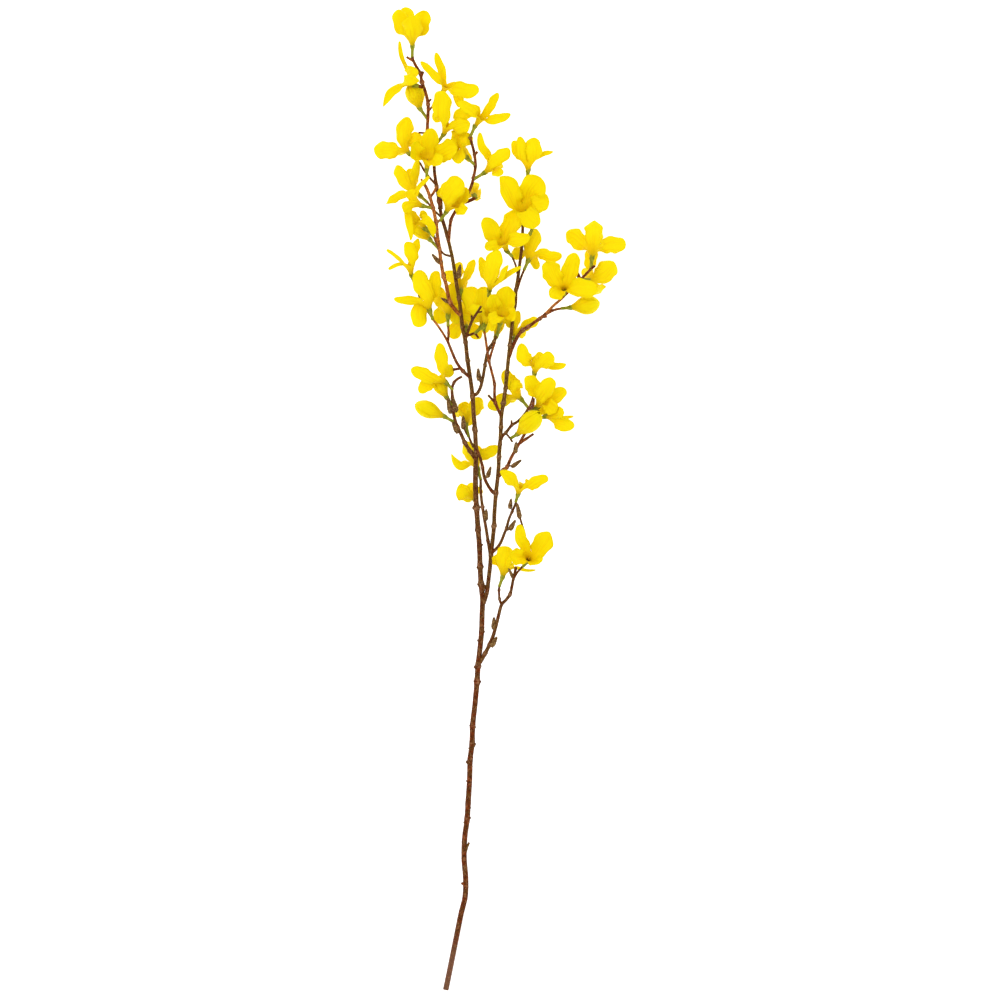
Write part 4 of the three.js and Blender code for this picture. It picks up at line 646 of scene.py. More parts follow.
# open blooms: name, where the stalk leaves the wood, where the calyx ends, middle of the throat,
# radius of the throat, and petals; a petal is its tip and width, and where it has them how blunt its
# tip is, from 0 to 1, and a place that its middle line bends to
BLOOMS = [
    ["bloom_01", [412.2, 58.3, 46.5], [412.5, 46.5, 48], [412, 38, 50], 5.8, [[[398, 11.5, 60], 17],
     [[426, 12.5, 54], 17], [[405, 7.5, 34], 16], [[412.5, 18.5, 70], 20, 0.4]]],
    ["bloom_02", [423.2, 87, 44], [414.5, 85, 42],
     [407, 81, 40], 6, [[[399.5, 41.5, 50], 4.5, 0.6, [400.5, 60, 48]],
     [[383, 105.5, 24], 9, 0.2, [391, 88, 30]], [[413, 68.5, 54], 19, 0.45, [410, 75, 55]],
     [[418.5, 81.5, 57], 11, 0.3, [408, 79, 60]]]],
    ["bloom_04", [441, 98, 41], [443, 92.5, 44],
     [446, 86, 48], 5, [[[436, 53.5, 56], 8.5, 0.4, [441.5, 69, 54]],
     [[421, 62, 50], 8, 0.4, [432, 74, 50]], [[478, 89.5, 54], 16, 0.5, [462, 93, 54]],
     [[460, 106, 34], 10]]],
    ["bloom_05", [438, 142, 43], [443.5, 134.5, 47], [447.5, 126, 52], 6.2, [[[440.5, 93, 64], 19],
     [[433, 115, 44], 12], [[469, 125, 58], 17], [[460, 147, 36], 17]]],
    ["bloom_06", [470.5, 136.5, 52], [475, 126.5, 55], [481, 118, 60], 4.8, [[[498, 94.5, 72], 9],
     [[510, 115, 66], 10, 0.35, [497, 122.5, 66]], [[459, 103, 64], 11, 0.4, [467, 109, 64]],
     [[454, 118, 50], 14]]],
    ["bloom_07", [416.5, 160, 38], [409.5, 153.5, 36], [404, 148, 33], 5.6, [[[407.5, 117.5, 30], 17],
     [[375, 150, 24], 18], [[421, 137, 32], 14], [[402, 153, 6], 12]]],
    ["bloom_08", [426.7, 178.5, 47], [427, 168.5, 49], [428, 158, 54], 7.5, [[[431.5, 130, 60], 18],
     [[456, 149, 66], 21], [[441, 164, 74], 15], [[412, 147, 70], 18]]],
    ["bloom_09", [475, 165, 50.5], [466.5, 157.5, 50], [461, 150, 49], 5.7, [[[468, 134, 48], 14],
     [[470.5, 161, 30], 8], [[447, 143, 42], 20], [[460, 163, 62], 14]]],
    ["bloom_10", [427, 202, 40.5], [420.5, 196, 37], [412, 188, 30], 5.5, [[[397, 165.5, 28], 13],
     [[386, 203, 18], 9, 0.1], [[417.5, 158, 46], 9, 0.16, [417, 174, 44]], [[410, 168, 12], 12]]],
    ["bloom_11", [432.5, 208.3, 48], [422.5, 206, 48.5],
     [415, 203, 50], 5.5, [[[429, 177, 60], 4.5, 0.6], [[410.8, 240.5, 58], 7.5, 0.3, [413, 222, 62]],
     [[404, 212, 68], 13], [[411, 190, 41], 12]]],
    ["bloom_12", [433.7, 236.5, 46], [425.3, 228.7, 46], [420, 222, 46], 5, [[[423.5, 211, 48], 8],
     [[408, 212, 44], 12], [[413, 234, 52], 9], [[433, 236.5, 50], 9, 0.3, [433, 219, 62]]]],
    ["bloom_14", [440.5, 220.3, 47.5], [446.5, 211.8, 51], [451, 203, 55], 9.6, [[[459.5, 180, 68], 22],
     [[466.5, 189, 56], 14], [[464, 214, 60], 13, 0.15], [[443, 188, 52], 15]]],
    ["bloom_15", [476, 198, 51], [474.5, 196, 46.5], [475, 193, 38], 4.7, [[[474, 182, 26], 10],
     [[480.5, 192, 24], 10], [[477, 200, 22], 9], [[464, 196, 26], 9]]],
    ["bloom_16", [474.5, 179, 50], [484.5, 173, 53],
     [491.5, 167, 56], 6, [[[480, 133.5, 62], 8.5, 0.4, [480, 153, 64]],
     [[508.5, 150, 66], 14, 0.4, [501, 158, 68]], [[498.5, 176.5, 64], 12], [[500, 163, 38], 12]]],
    ["bloom_17", [415, 285.5, 38], [411.5, 275.5, 43], [409.5, 265, 46], 5.7, [[[406.5, 243, 52], 13],
     [[418, 239, 38], 9, 0.25], [[387, 250, 58], 4, 0.6], [[388.5, 269, 42], 4, 0.6]]],
    ["bloom_18", [432.5, 319, 43.5], [430, 311, 45],
     [427.5, 303, 43], 5.7, [[[421, 271.5, 48], 18, 0.45, [418, 286, 53]], [[437, 271.5, 36], 13],
     [[394.5, 299, 56], 9, 0.4, [408, 303, 54]], [[417.5, 326, 44], 17]]],
    ["bloom_19", [448, 325.5, 42], [448, 316.5, 38], [447.5, 308, 32], 6, [[[438, 322, 24], 16],
     [[458, 322, 26], 14], [[454, 284, 26], 15], [[436.5, 287, 20], 15]]],
    ["bloom_20", [464.6, 333, 34.8], [466, 327, 26], [464, 321, 17], 5.2, [[[452, 337, 8], 15],
     [[480, 337, 8], 14], [[457, 300, 8], 14], [[474, 307, 4], 13]]],
    ["bloom_21", [459.5, 298, 37], [461, 290.5, 33], [461.5, 281, 29], 5, [[[459.5, 262, 20], 11],
     [[474, 259.5, 24], 9, 0.3], [[444, 274, 12], 12], [[461, 291, 7], 7]]],
    ["bloom_22", [488.5, 296, 61], [489.5, 291, 67], [491.5, 283, 68], 7, [[[498, 252, 76], 17],
     [[480.5, 258, 66], 9], [[508, 266, 74], 6, 0.3, [502, 274, 76]],
     [[521, 267, 63], 6, 0.3, [508, 275, 68]]]],
    ["bloom_23", [475.5, 333, 40], [481.5, 326.8, 40], [484, 319, 35], 5.7, [[[465, 290, 34], 22],
     [[488, 294, 27], 9], [[457, 313, 28], 13], [[484, 333, 14], 8]]],
    ["bloom_24", [484, 330, 50.5], [484.5, 325, 51.5], [487, 317, 52], 5.8, [[[483, 288, 46], 18],
     [[500, 305, 34], 12], [[470, 309, 46], 12], [[492, 331, 57], 9]]],
    ["bloom_25", [497, 335, 47], [500, 323.5, 53], [502, 314, 59], 6.6, [[[508, 288, 66], 19],
     [[491.5, 296, 75], 15], [[515, 314, 66], 16], [[490, 321, 70], 13]]],
    ["bloom_27", [526.6, 182.5, 53], [528, 171.5, 55], [528, 162, 57], 6.5, [[[513, 142, 50], 13],
     [[519.5, 138, 66], 10], [[534, 139.5, 64], 17], [[553, 152, 52], 5, 0.3]]],
    ["bloom_28", [530.3, 234, 51.5], [533, 225.5, 53.5],
     [524.5, 208, 64], 8, [[[501, 178.5, 70], 20, 0.2, [513, 186, 72]], [[539.5, 180, 72], 27, 0.46],
     [[547.5, 205, 62], 20], [[537, 225.5, 70], 20, 0.44]]],
    ["bloom_29", [511.5, 256, 52.5], [507, 251.3, 55], [503.3, 243, 60], 5.6, [[[484.5, 219.5, 74], 18],
     [[515, 211, 54], 19, 0.45, [514, 224, 58]], [[528.5, 236.5, 67], 15, 0.4, [516, 244, 66]],
     [[485.5, 248.5, 74], 11]]],
    ["bloom_30", [524.3, 269.5, 51.5], [528, 261, 49], [530, 254, 45], 7, [[[536.5, 230, 41], 16],
     [[561, 255, 42], 12, 0.5, [547, 260, 42]], [[537, 268.5, 30], 9], [[513, 257, 36], 13]]],
    ["bloom_31", [591, 268.8, 36], [592, 258, 33], [593, 248, 28], 7.5, [[[595, 221, 22], 19],
     [[567.5, 232.5, 18], 18], [[625, 244, 22], 17], [[589, 268, 13], 13]]],
    ["bloom_32", [564.5, 295, 40.5], [564.5, 291, 45], [564, 287, 51], 5.2, [[[545.5, 264, 57], 20],
     [[575, 254.5, 59], 17], [[596, 290.5, 55], 19], [[551, 297.5, 66], 15]]],
    ["bloom_33", [582.5, 278.5, 35.5], [588, 280.5, 32], [592, 281.5, 25], 6.5, [[[613, 262, 16], 21],
     [[600.5, 292, 9], 18], [[584, 268, 3], 12], [[582, 292, 0.4], 12]]],
    ["bloom_35", [512.8, 346, 46.5], [515, 338.5, 44],
     [516.5, 330, 40.5], 5.7, [[[538.5, 319.5, 33], 11], [[522.5, 337.5, 20], 9, 0.3],
     [[506, 316, 42], 11], [[518, 311, 24], 11]]],
    ["bloom_36", [452.2, 389, 41], [446, 382.5, 43], [440.5, 378, 45], 6, [[[440, 344, 50], 13],
     [[412, 369.5, 54], 14, 0.4, [424, 375, 54]], [[420, 392, 44], 13], [[453, 371, 33], 14]]],
    ["bloom_39", [468.5, 436, 25], [465.8, 424.5, 22], [466.5, 416, 18], 5.7, [[[481, 399, 11], 15],
     [[465, 402, 8], 13], [[455, 415, 8], 7], [[468, 425, 3], 8]]],
    ["bloom_40", [480.5, 479, 25], [478, 469.5, 21],
     [475, 462, 16.5], 5.7, [[[451.5, 454, 16], 9, 0.2, [459, 474, 12]], [[466, 442, 8], 14],
     [[497, 446, 12], 12, 0.4, [488, 455, 14]], [[478, 446, 2.5], 12]]],
    ["bloom_41", [478, 505.5, 16.5], [475, 500, 13.5],
     [472, 495, 11], 5.6, [[[457.5, 491, 14], 18, 0.46], [[468, 485.5, 6], 12], [[479, 488, 3], 12],
     [[468, 501.5, 4], 11]]],
    ["bloom_42", [534.5, 380, 43.5], [534.5, 373.5, 46],
     [536, 366, 49], 6, [[[521.5, 344.5, 54], 14.5, 0.4, [523, 361, 52]], [[552, 355.5, 56], 16],
     [[565.5, 364, 44], 8, 0.3, [557, 371, 44]], [[544, 356.5, 34], 12]]],
    ["bloom_43", [528, 407.3, 42.3], [521.5, 399.5, 39],
     [516, 394, 35], 6.2, [[[507, 370.5, 24], 15, 0.45, [507, 385, 26]], [[518, 382, 42], 14],
     [[488.5, 405.5, 24], 14, 0.45, [500, 404, 24]], [[512, 402, 14], 12]]],
    ["bloom_44", [528.8, 409, 42.6], [536.8, 408.3, 47], [541, 402, 49], 6, [[[526.5, 377.5, 52], 16],
     [[552, 379.5, 60], 16], [[565.5, 391, 46], 15], [[555, 412, 58], 15]]],
    ["bloom_45", [540.5, 418, 43], [545.5, 416.5, 44], [552, 416.5, 45], 5.6, [[[573.5, 426, 50], 14],
     [[563, 411, 62], 12], [[573.5, 416.5, 40], 3.5, 0.5], [[530, 411, 31], 12, 0.4, [543, 408, 36]]]],
    ["bloom_47", [516, 501, 43], [518, 494.5, 45],
     [519.5, 487, 48], 6.2, [[[501, 471.5, 60], 13, 0.2, [512, 476, 56]],
     [[547.5, 478, 54], 12, 0.5, [534, 482, 52]], [[526, 484, 28], 12], [[512, 485, 32], 11]]],
    ["bloom_48", [523.5, 566, 44], [528, 561.5, 50],
     [529.5, 557, 57], 5.4, [[[520, 525, 66], 12, 0.45, [519, 541, 66]], [[549, 533.5, 68], 20],
     [[510.5, 555.5, 68], 17], [[540, 562, 78], 14]]],
    ["bloom_49", [499.5, 586, 36], [502.5, 577.3, 35], [504.5, 568, 34], 7.2, [[[505, 547.5, 42], 18],
     [[498, 555, 32], 11], [[536, 570, 28], 3.5, 0.5, [519, 573, 30]], [[511, 563, 16], 12]]],
]

# blooms still closed as a bell: name, where the stalk leaves the wood, where the calyx ends, the
# bell's tip and its width
BELLS = [
    ["bloom_03", [427.5, 119, 41.5], [420, 108.5, 37], [411, 82, 30], 19],
    ["bloom_13", [438.6, 248.6, 45.7], [430, 239.5, 35], [412, 222, 18], 15],
    ["bloom_26", [494, 341.5, 46], [496, 336.5, 41], [501, 316, 28], 11],
    ["bloom_34", [562, 308.3, 41], [570.3, 307.5, 41], [600, 303, 40], 19],
    ["bloom_37", [451.8, 404.5, 39.5], [446.8, 397.5, 36.5], [435, 377, 30], 14],
    ["bloom_38", [452.8, 421.3, 37.5], [444.5, 416.5, 38], [414.5, 404, 39], 17],
    ["bloom_46", [511.3, 438, 42], [517.3, 434.2, 48], [540, 413, 66], 20],
]


def eased(share):
    share = min(max(share, 0), 1)
    return share * share * (3 - 2 * share)


def stalk_line(bloom):
    root, top = place(bloom[1]), place(bloom[2])
    way = unit_from(root, top)
    start = root - way * STALK_SUNK
    length = (top - start).length
    count = max(4, round(length / STALK_STEP))
    line = []
    for i in range(count + 1):
        left = length * (1 - i / count)
        cup = eased((CUP_LENGTH - left) / (CUP_LENGTH * CUP_WIDENS))
        line.append((start + way * length * i / count, {
            "thickness": STALK_RADIUS + (CUP_RADIUS - STALK_RADIUS) * cup}))
    return line


def in_skin(name, lines, sides, depth, skin):
    """Guide lines sheathed as round wood with fine relief in one skin, without warts."""
    return grown(name, guide_lines(name + "_guide", lines), sheathing, {
        "Sides": sides, "Relief": depth, "Relief Scale": FINE_RELIEF_SCALE, "Bark": skin, "Wart": skin})


def seated(name):
    """Tree that sets a small piece on each point, turned and sized by the point's own values."""
    tree, given, out, node = geometry_tree(name, {"Piece": "Object", "Skin": "Material"})
    turn = node("GeometryNodeInputNamedAttribute", {"Name": "turn"}, data_type="QUATERNION")
    size = node("GeometryNodeInputNamedAttribute", {"Name": "size"}, data_type="FLOAT_VECTOR")
    piece = node("GeometryNodeObjectInfo", {"Object": given["Piece"]}).outputs["Geometry"]
    smooth = node("GeometryNodeSetShadeSmooth", {"Geometry": piece})
    placed = node("GeometryNodeInstanceOnPoints", {
        "Points": given["Geometry"], "Instance": smooth, "Rotation": turn, "Scale": size})
    real = node("GeometryNodeRealizeInstances", {"Geometry": placed})
    feed(tree, out, node("GeometryNodeSetMaterial", {"Geometry": real, "Material": given["Skin"]}))
    return tree


seating = seated("seating")


def set_on(name, form, seats, skin):
    """One piece of a form set on seats of (place, outward, upward, size); the form goes."""
    mesh = bpy.data.meshes.new(name)
    mesh.from_pydata([seat[0] for seat in seats], [], [])
    turns, sizes = [], []
    for _, outward, upward, size in seats:
        outward = (outward - upward * outward.dot(upward)).normalized()
        sideways = upward.cross(outward)
        # the form's own x axis points outward and its z axis upward
        turns.extend(Matrix((outward, sideways, upward)).transposed().to_quaternion())
        sizes.extend(size)
    mesh.attributes.new("turn", "QUATERNION", "POINT").data.foreach_set("value", turns)
    mesh.attributes.new("size", "FLOAT_VECTOR", "POINT").data.foreach_set("vector", sizes)
    piece = grown(name, in_scene(name + "_guide", mesh), seating, {"Piece": form, "Skin": skin})
    bpy.data.objects.remove(form)
    return piece


def around(side, over, turn):
    """The direction at a turn round an axis, from the two directions square to it."""
    return side * math.cos(turn) + over * math.sin(turn)


def small_leaf(name, widest, point, lean):
    """A small pointed leaf wrapped on a round thing of radius 1, from height 0 to 1."""
    verts, faces = [], []
    for i in range(LEAF_ROWS):
        height = i / LEAF_ROWS
        belly = LEAF_BELLY * math.sin(math.pi * min(height * BELLY_PACE, 1))
        half = widest * (1 - height ** point) * (LEAF_FOOT + belly)
        for j in range(LEAF_COLUMNS + 1):
            across = 2 * j / LEAF_COLUMNS - 1
            radius = LEAF_OUT + lean * height + LEAF_KEEL * (1 - abs(across))
            verts.append((radius * math.cos(half * across), radius * math.sin(half * across), height))
    verts.append((LEAF_OUT + lean, 0, 1))
    for i in range(LEAF_ROWS):
        for j in range(LEAF_COLUMNS):
            a = i * (LEAF_COLUMNS + 1) + j
            over = (a + LEAF_COLUMNS + 2, a + LEAF_COLUMNS + 1) if i < LEAF_ROWS - 1 else (len(verts) - 1,)
            faces.append((a, a + 1) + over)
    leaf = mesh_piece(name, verts, faces)
    wall = leaf.modifiers.new("wall", "SOLIDIFY")
    wall.thickness, wall.offset = LEAF_THICKNESS, 0
    return leaf


green, tree, shader = new_material(
    "green", Roughness=0.55, Specular_IOR_Level=0.06, Subsurface_Weight=0.1, Subsurface_Scale=1 * MM)
here = own_place(tree)
mottle = streaks(tree, here, across=260.0, along=260.0, low=0.38, high=0.62)
fleck = streaks(tree, here, across=900.0, along=900.0, low=0.5, high=0.72)
feed(tree, shader.inputs["Base Color"],
     stained(tree, blended(tree, mottle, OLIVE_GREEN, YELLOW_GREEN), fleck, PALE_GREEN, strength=0.4))
relief(tree, shader, fleck, STALK_RELIEF)

stalk_lines = [stalk_line(bloom) for bloom in BLOOMS + BELLS]
stalks = in_skin("stalks", stalk_lines, STALK_SIDES, STALK_RELIEF, green)
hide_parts("wood")
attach(stalks, "root")

seats = []
for number, bloom in enumerate(BLOOMS + BELLS):
    root, top = place(bloom[1]), place(bloom[2])
    way = unit_from(root, top)
    for lobe in range(4):
        outward = around(*square_to(way), (lobe + 0.5) * math.pi / 2 + number)
        seats.append((top - way * LOBE_START, outward, way, (CUP_RADIUS, CUP_RADIUS, LOBE_LENGTH)))
calyx_lobes = set_on("calyx_lobes", small_leaf("lobe", widest=0.66, point=2.2, lean=0.1), seats, green)
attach(calyx_lobes, "root")


# ---- Leaf scars -----------------------------------------------------------------------------------
# At every node two leaves stood opposite each other last year: each left a raised shield of pale
# cork with the stub of a bud over it.

SCAR_PROUD = 0.62  # how far a scar's middle is from the wood's, in radii of the swollen node
SCAR_SIZE = (0.7, 0.7, 1.2)  # outward, sideways and along, in radii of the wood
SCAR_GROWTH = (0.7, 1.15)  # how large they grew, of that
SCAR_SHIFT = 0.5  # how far one may stand before or behind the other, in radii of the wood
SCAR_SIDES = 7
SCAR_SEED = 12
PORE_DEPTH = 0.15 * MM
SCAR_LEAN = 0.28  # how far a scar leans out of the wood for each step along it
SCAR_SHIELD = [(-0.9, 0.2), (-0.6, 0.62), (-0.1, 0.95), (0.35, 0.9), (0.62, 0.55), (0.8, 0.42),
               (1.05, 0.12)]  # distance along it and radius there
LEAST_NODE = 1.15  # smaller nodes have none
SCAR_TURN, SCAR_PACE = 0.5, 2.4  # how far scars turn round the wood, and how fast from node to node
CORK_DARK, CORK_PALE, CORK_PORE = srgb(70, 34, 10), srgb(138, 96, 58), srgb(52, 28, 12)

cork, tree, shader = new_material("cork", Roughness=0.8, Specular_IOR_Level=0.1)
here = own_place(tree)
patchy = streaks(tree, here, across=520.0, along=520.0, low=0.42, high=0.6)
pores = streaks(tree, here, across=1800.0, along=1800.0, low=0.52, high=0.66)
feed(tree, shader.inputs["Base Color"],
     stained(tree, blended(tree, patchy, CORK_DARK, CORK_PALE), pores, CORK_PORE, strength=0.5))
relief(tree, shader, pores, PORE_DEPTH)

seats = []
chance = random.Random(SCAR_SEED)
for number, (start_radius, end_radius, _, _, places) in enumerate(ROUTES):
    for i, entry in enumerate(places):
        if len(entry) < 4 or entry[3] < LEAST_NODE or i in (0, len(places) - 1):
            continue
        middle, way = place(entry[:3]), unit_from(place(places[i - 1][:3]), place(places[i + 1][:3]))
        radius = (start_radius + (end_radius - start_radius) * i / (len(places) - 1)) * MM
        turn = SCAR_TURN * math.sin(SCAR_PACE * (number + i))
        for hand in (0, math.pi):
            outward = around(*square_to(way), turn + hand)
            seat = middle + outward * radius * entry[3] * SCAR_PROUD
            seat += way * radius * chance.uniform(-SCAR_SHIFT, SCAR_SHIFT)
            grown_to = radius * chance.uniform(*SCAR_GROWTH)
            seats.append((seat, outward, way, tuple(grown_to * size for size in SCAR_SIZE)))
scar = mesh_piece("scar", *turned_rings(
    Vector((0, 0, 0)), Vector((SCAR_LEAN, 0, 1)).normalized(), SCAR_SHIELD, SCAR_SIDES))
leaf_scars = set_on("leaf_scars", scar, seats, cork)
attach(leaf_scars, "root")


# ---- Winter buds ----------------------------------------------------------------------------------
# Leaf buds that haven't opened: pointed spindles of dry brown scales that lie over each other in
# opposite pairs, grown from the wood on short feet.

BUD_SHAPE = ((0, 0.4), (0.1, 0.62), (0.3, 0.94), (0.5, 0.95), (0.68, 0.74), (0.84, 0.46), (0.94, 0.24),
             (1, 0.06))  # shares of its length, and its radius there in half widths
BUD_CORE = 0.9  # its inside, of its width with the scales
BUD_SUNK = 0.8 * MM
BUD_SIDES, BUD_RINGS = 12, 14
BUD_RELIEF = 0.05 * MM
SCALE_PAIRS = ((0.04, 0.42), (0.14, 0.5), (0.28, 0.52), (0.44, 0.46), (0.58, 0.4))  # foot, length
SCALE_SEAT = 0.35  # how far along a scale it is as wide as the bud
SCALE_RELIEF = 0.1 * MM
DRY_BROWN, DRY_TAN, SCALE_EDGE = srgb(92, 62, 26), srgb(148, 114, 68), srgb(56, 32, 12)

# where each stands on the wood, its point and its width
BUDS = [
    [[439.5, 263, 45], [431.5, 253.5, 47], 4.6],
    [[458.3, 277.5, 42], [460.3, 264, 46], 5.4],
    [[447, 301.5, 40], [440.5, 297.5, 41], 3.6],
    [[479, 380, 38], [478, 367.5, 41], 5],
    [[457.8, 432.5, 35], [451.8, 419.5, 38.5], 6],
    [[463.5, 428.5, 27], [463, 415, 30], 5.4],
    [[450.6, 413, 38.5], [447.4, 397.5, 41.5], 5.4],
    [[456.2, 411.5, 39], [453.2, 397.5, 44.5], 5.4],
    [[515.3, 452.5, 44], [516.3, 441, 48], 5],
    [[512, 466.8, 43], [522, 459.5, 47], 4.8],
    [[487.5, 477, 38], [491, 466, 42], 4.8],
    [[485.6, 520, 28.5], [486.2, 508.5, 31.5], 5.2],
    [[510, 529.5, 37], [515.8, 519.5, 41], 5.4],
    [[509.9, 508, 40], [511.3, 498, 43], 4.8],
    [[519.8, 518, 44], [516.8, 502, 47], 5.2],
    [[491.5, 646.5, 21.5], [497.4, 636.5, 26], 5.8],
    [[493.5, 629, 25], [494, 616.5, 28.5], 5],
    [[513, 577.5, 39.8], [508.3, 568, 41], 3.8],
    [[424.5, 67.5, 43], [427.8, 62.8, 44], 2.6],
]


def shape_at(share, shape, ease=eased):
    """A radius read off a row of (share of the length, radius) pairs, eased between them."""
    for (a, radius_a), (b, radius_b) in zip(shape, shape[1:]):
        if share <= b:
            return radius_a + (radius_b - radius_a) * ease((share - a) / (b - a))
    return shape[-1][1]


scaly, tree, shader = new_material("bud_scale", Roughness=0.55, Specular_IOR_Level=0.08)
here = own_place(tree)
ribs = streaks(tree, here, across=700.0, along=260.0, low=0.4, high=0.62)
edge = streaks(tree, here, across=420.0, along=420.0, low=0.52, high=0.66)
feed(tree, shader.inputs["Base Color"],
     stained(tree, blended(tree, ribs, DRY_BROWN, DRY_TAN), edge, SCALE_EDGE, strength=0.6))
relief(tree, shader, ribs, SCALE_RELIEF)

bud_lines, seats = [], []
for number, (foot, tip, width) in enumerate(BUDS):
    foot, tip = place(foot), place(tip)
    way, length = unit_from(foot, tip), (tip - foot).length
    foot = foot - way * BUD_SUNK
    bud_lines.append([(foot + way * (length + BUD_SUNK) * (i / BUD_RINGS), {
        "thickness": shape_at(i / BUD_RINGS, BUD_SHAPE) * width / 2 * MM * BUD_CORE})
        for i in range(BUD_RINGS + 1)])
    for pair, (start, reach) in enumerate(SCALE_PAIRS):
        radius = shape_at(start + SCALE_SEAT * reach, BUD_SHAPE) * width / 2 * MM
        for half in range(2):
            outward = around(*square_to(way), (pair % 2) * math.pi / 2 + half * math.pi + number)
            seats.append((foot + way * length * start, outward, way, (radius, radius, length * reach)))
buds = in_skin("buds", bud_lines, BUD_SIDES, BUD_RELIEF, scaly)
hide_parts("wood")
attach(buds, "root")
bud_scales = set_on(
    "bud_scales", small_leaf("scale", widest=1.25, point=2.0, lean=-0.42), seats, scaly)
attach(bud_scales, "root")


# ---- Corollas -------------------------------------------------------------------------------------
# Each bloom is one thin yellow sheet: a short tube in the calyx that opens into four petals, cupped
# and waved, with fine veins running out from a golden throat that has painted shade deep in its tube.

SHEET = 0.42 * MM
VEIN_DEPTH = 0.16 * MM
TUBE_FOOT = 1.6 * MM
TUBE_SUNK = 1.0 * MM  # into the calyx
TUBE_RINGS = 6
TUBE_SHARE = 0.28  # the tube's share of the length of tube and petal together
TUBE_EVEN = 0.35  # share of its widening that is even; the rest comes towards its mouth
OPEN_FLARING, BELL_FLARING = 2.2, 1.6  # how late that rest comes
PETAL_COLUMNS, PETAL_ROWS = 8, 17
HALF_COLUMNS = PETAL_COLUMNS // 2
ROWS_TO_TIP = 1.45  # above 1, rows lie closer towards the tip
FLARE = 0.9  # the most a petal leans out where it leaves the throat, against going on along it
LEAST_AHEAD = 0.01 * MM  # its tip is taken as at least this far ahead of the calyx
CURL = 0.25  # how far its tip leans back
REACH = 0.36  # how strongly its middle line keeps its first and last direction
TURN_LENGTH = 0.26  # share of its length in which it turns its face up
FACE_READ_AT = (0.34, 0.75, 1)  # shares of its length that say which face is up
EVENNESS = 0.7  # how far petals are moved to even quarters where they leave the throat
ROOM = 1.2  # share of the way to its neighbour's edge that a petal may fill
WIDEST = 1.3  # half the angle between two neighbours is taken as no more, in radians
NARROW = 1.1  # half its width where it leaves the throat, in radii of the throat
SPREADING = 1.05  # how fast it grows wider from there
SETTLED_BY = 0.13  # share of its length in which it leaves the tube's round form for its own
CUPPING, CUP_LEVEL = 0.24, 0.4  # how far its edges stand up, and its middle down, in half widths
TIP_BLUNTNESS = (0.3, 0.46)  # from the most pointed tip to the bluntest, where none is given
TIP_POINT = 0.08  # how far its tip's middle stands out, in widths
TIP_ROUNDNESS = 2.2
BLUNTEST, KEENEST, UNIT_TIP = 0.22, 1.3, 0.17  # its powers, and the bluntness whose power is 1
BROADEST = 0.6  # how far along it is broadest
BASE_WIDTH = 0.86  # of its greatest width
SWAY = 0.05  # the most its middle line swings aside, in widths
LEAST_SWAY = 0.3  # of that
WAVING = 0.07  # how far its edges wave up and down, in widths
WAVES = (1.2, 1.9)  # how many waves an edge has
EDGE = 2.5  # how close to the edge the waves keep
UNEVENNESS, UNEVEN_PACE = 0.08, 1.3  # how far edges swing in and out, and how much quicker
CREASE, CREASE_WIDTH = 0.05, 0.22  # depth of the furrow along its middle, and its half width
LOWEST = 0.35 * MM  # petals that lie on the surface stay this far above it

# bells: their outline as shares of their length and radii in half widths
BELL_SHAPE = ((0.3, 0.72), (0.42, 0.92), (0.55, 1.0), (0.7, 0.96), (0.84, 0.74), (0.93, 0.46),
              (1.0, 0.08))
BELL_MOUTH, BELL_WAIST = BELL_SHAPE[0]  # where its petals part
BELL_LAP = 15  # degrees by which each petal covers the next
BELL_STEP = 0.55 * MM  # how far a petal's one edge stands out over the next one's
BELL_WAVING, BELL_WAVES = 0.35 * MM, 1.4
BELL_SAG = 0.03  # how far the petals' edges end before their middles, in lengths
BELL_STRETCH = (0.97, 1.0)  # how long its petals are, of its length
BELL_ROWS = 12

# colours along a petal, from the foot of the tube to its tip; the ochre and olive deep in the tube are
# partly the tube's own greener, deeper gold and partly painted shade
PETAL_COLOURS_AND_THROAT_SHADE = {
    0.0: srgb(128, 130, 14), 0.1: srgb(190, 160, 4), 0.22: srgb(226, 190, 0), 0.36: srgb(238, 211, 0),
    0.7: srgb(241, 218, 0), 1.0: srgb(243, 221, 0)}
PETAL_CLOUD, PETAL_VEIN, PETAL_SHEEN = srgb(238, 205, 0), srgb(226, 168, 0), srgb(250, 230, 20)
PETAL_SHIFT = 7.0  # how far apart the patterns of two petals may lie


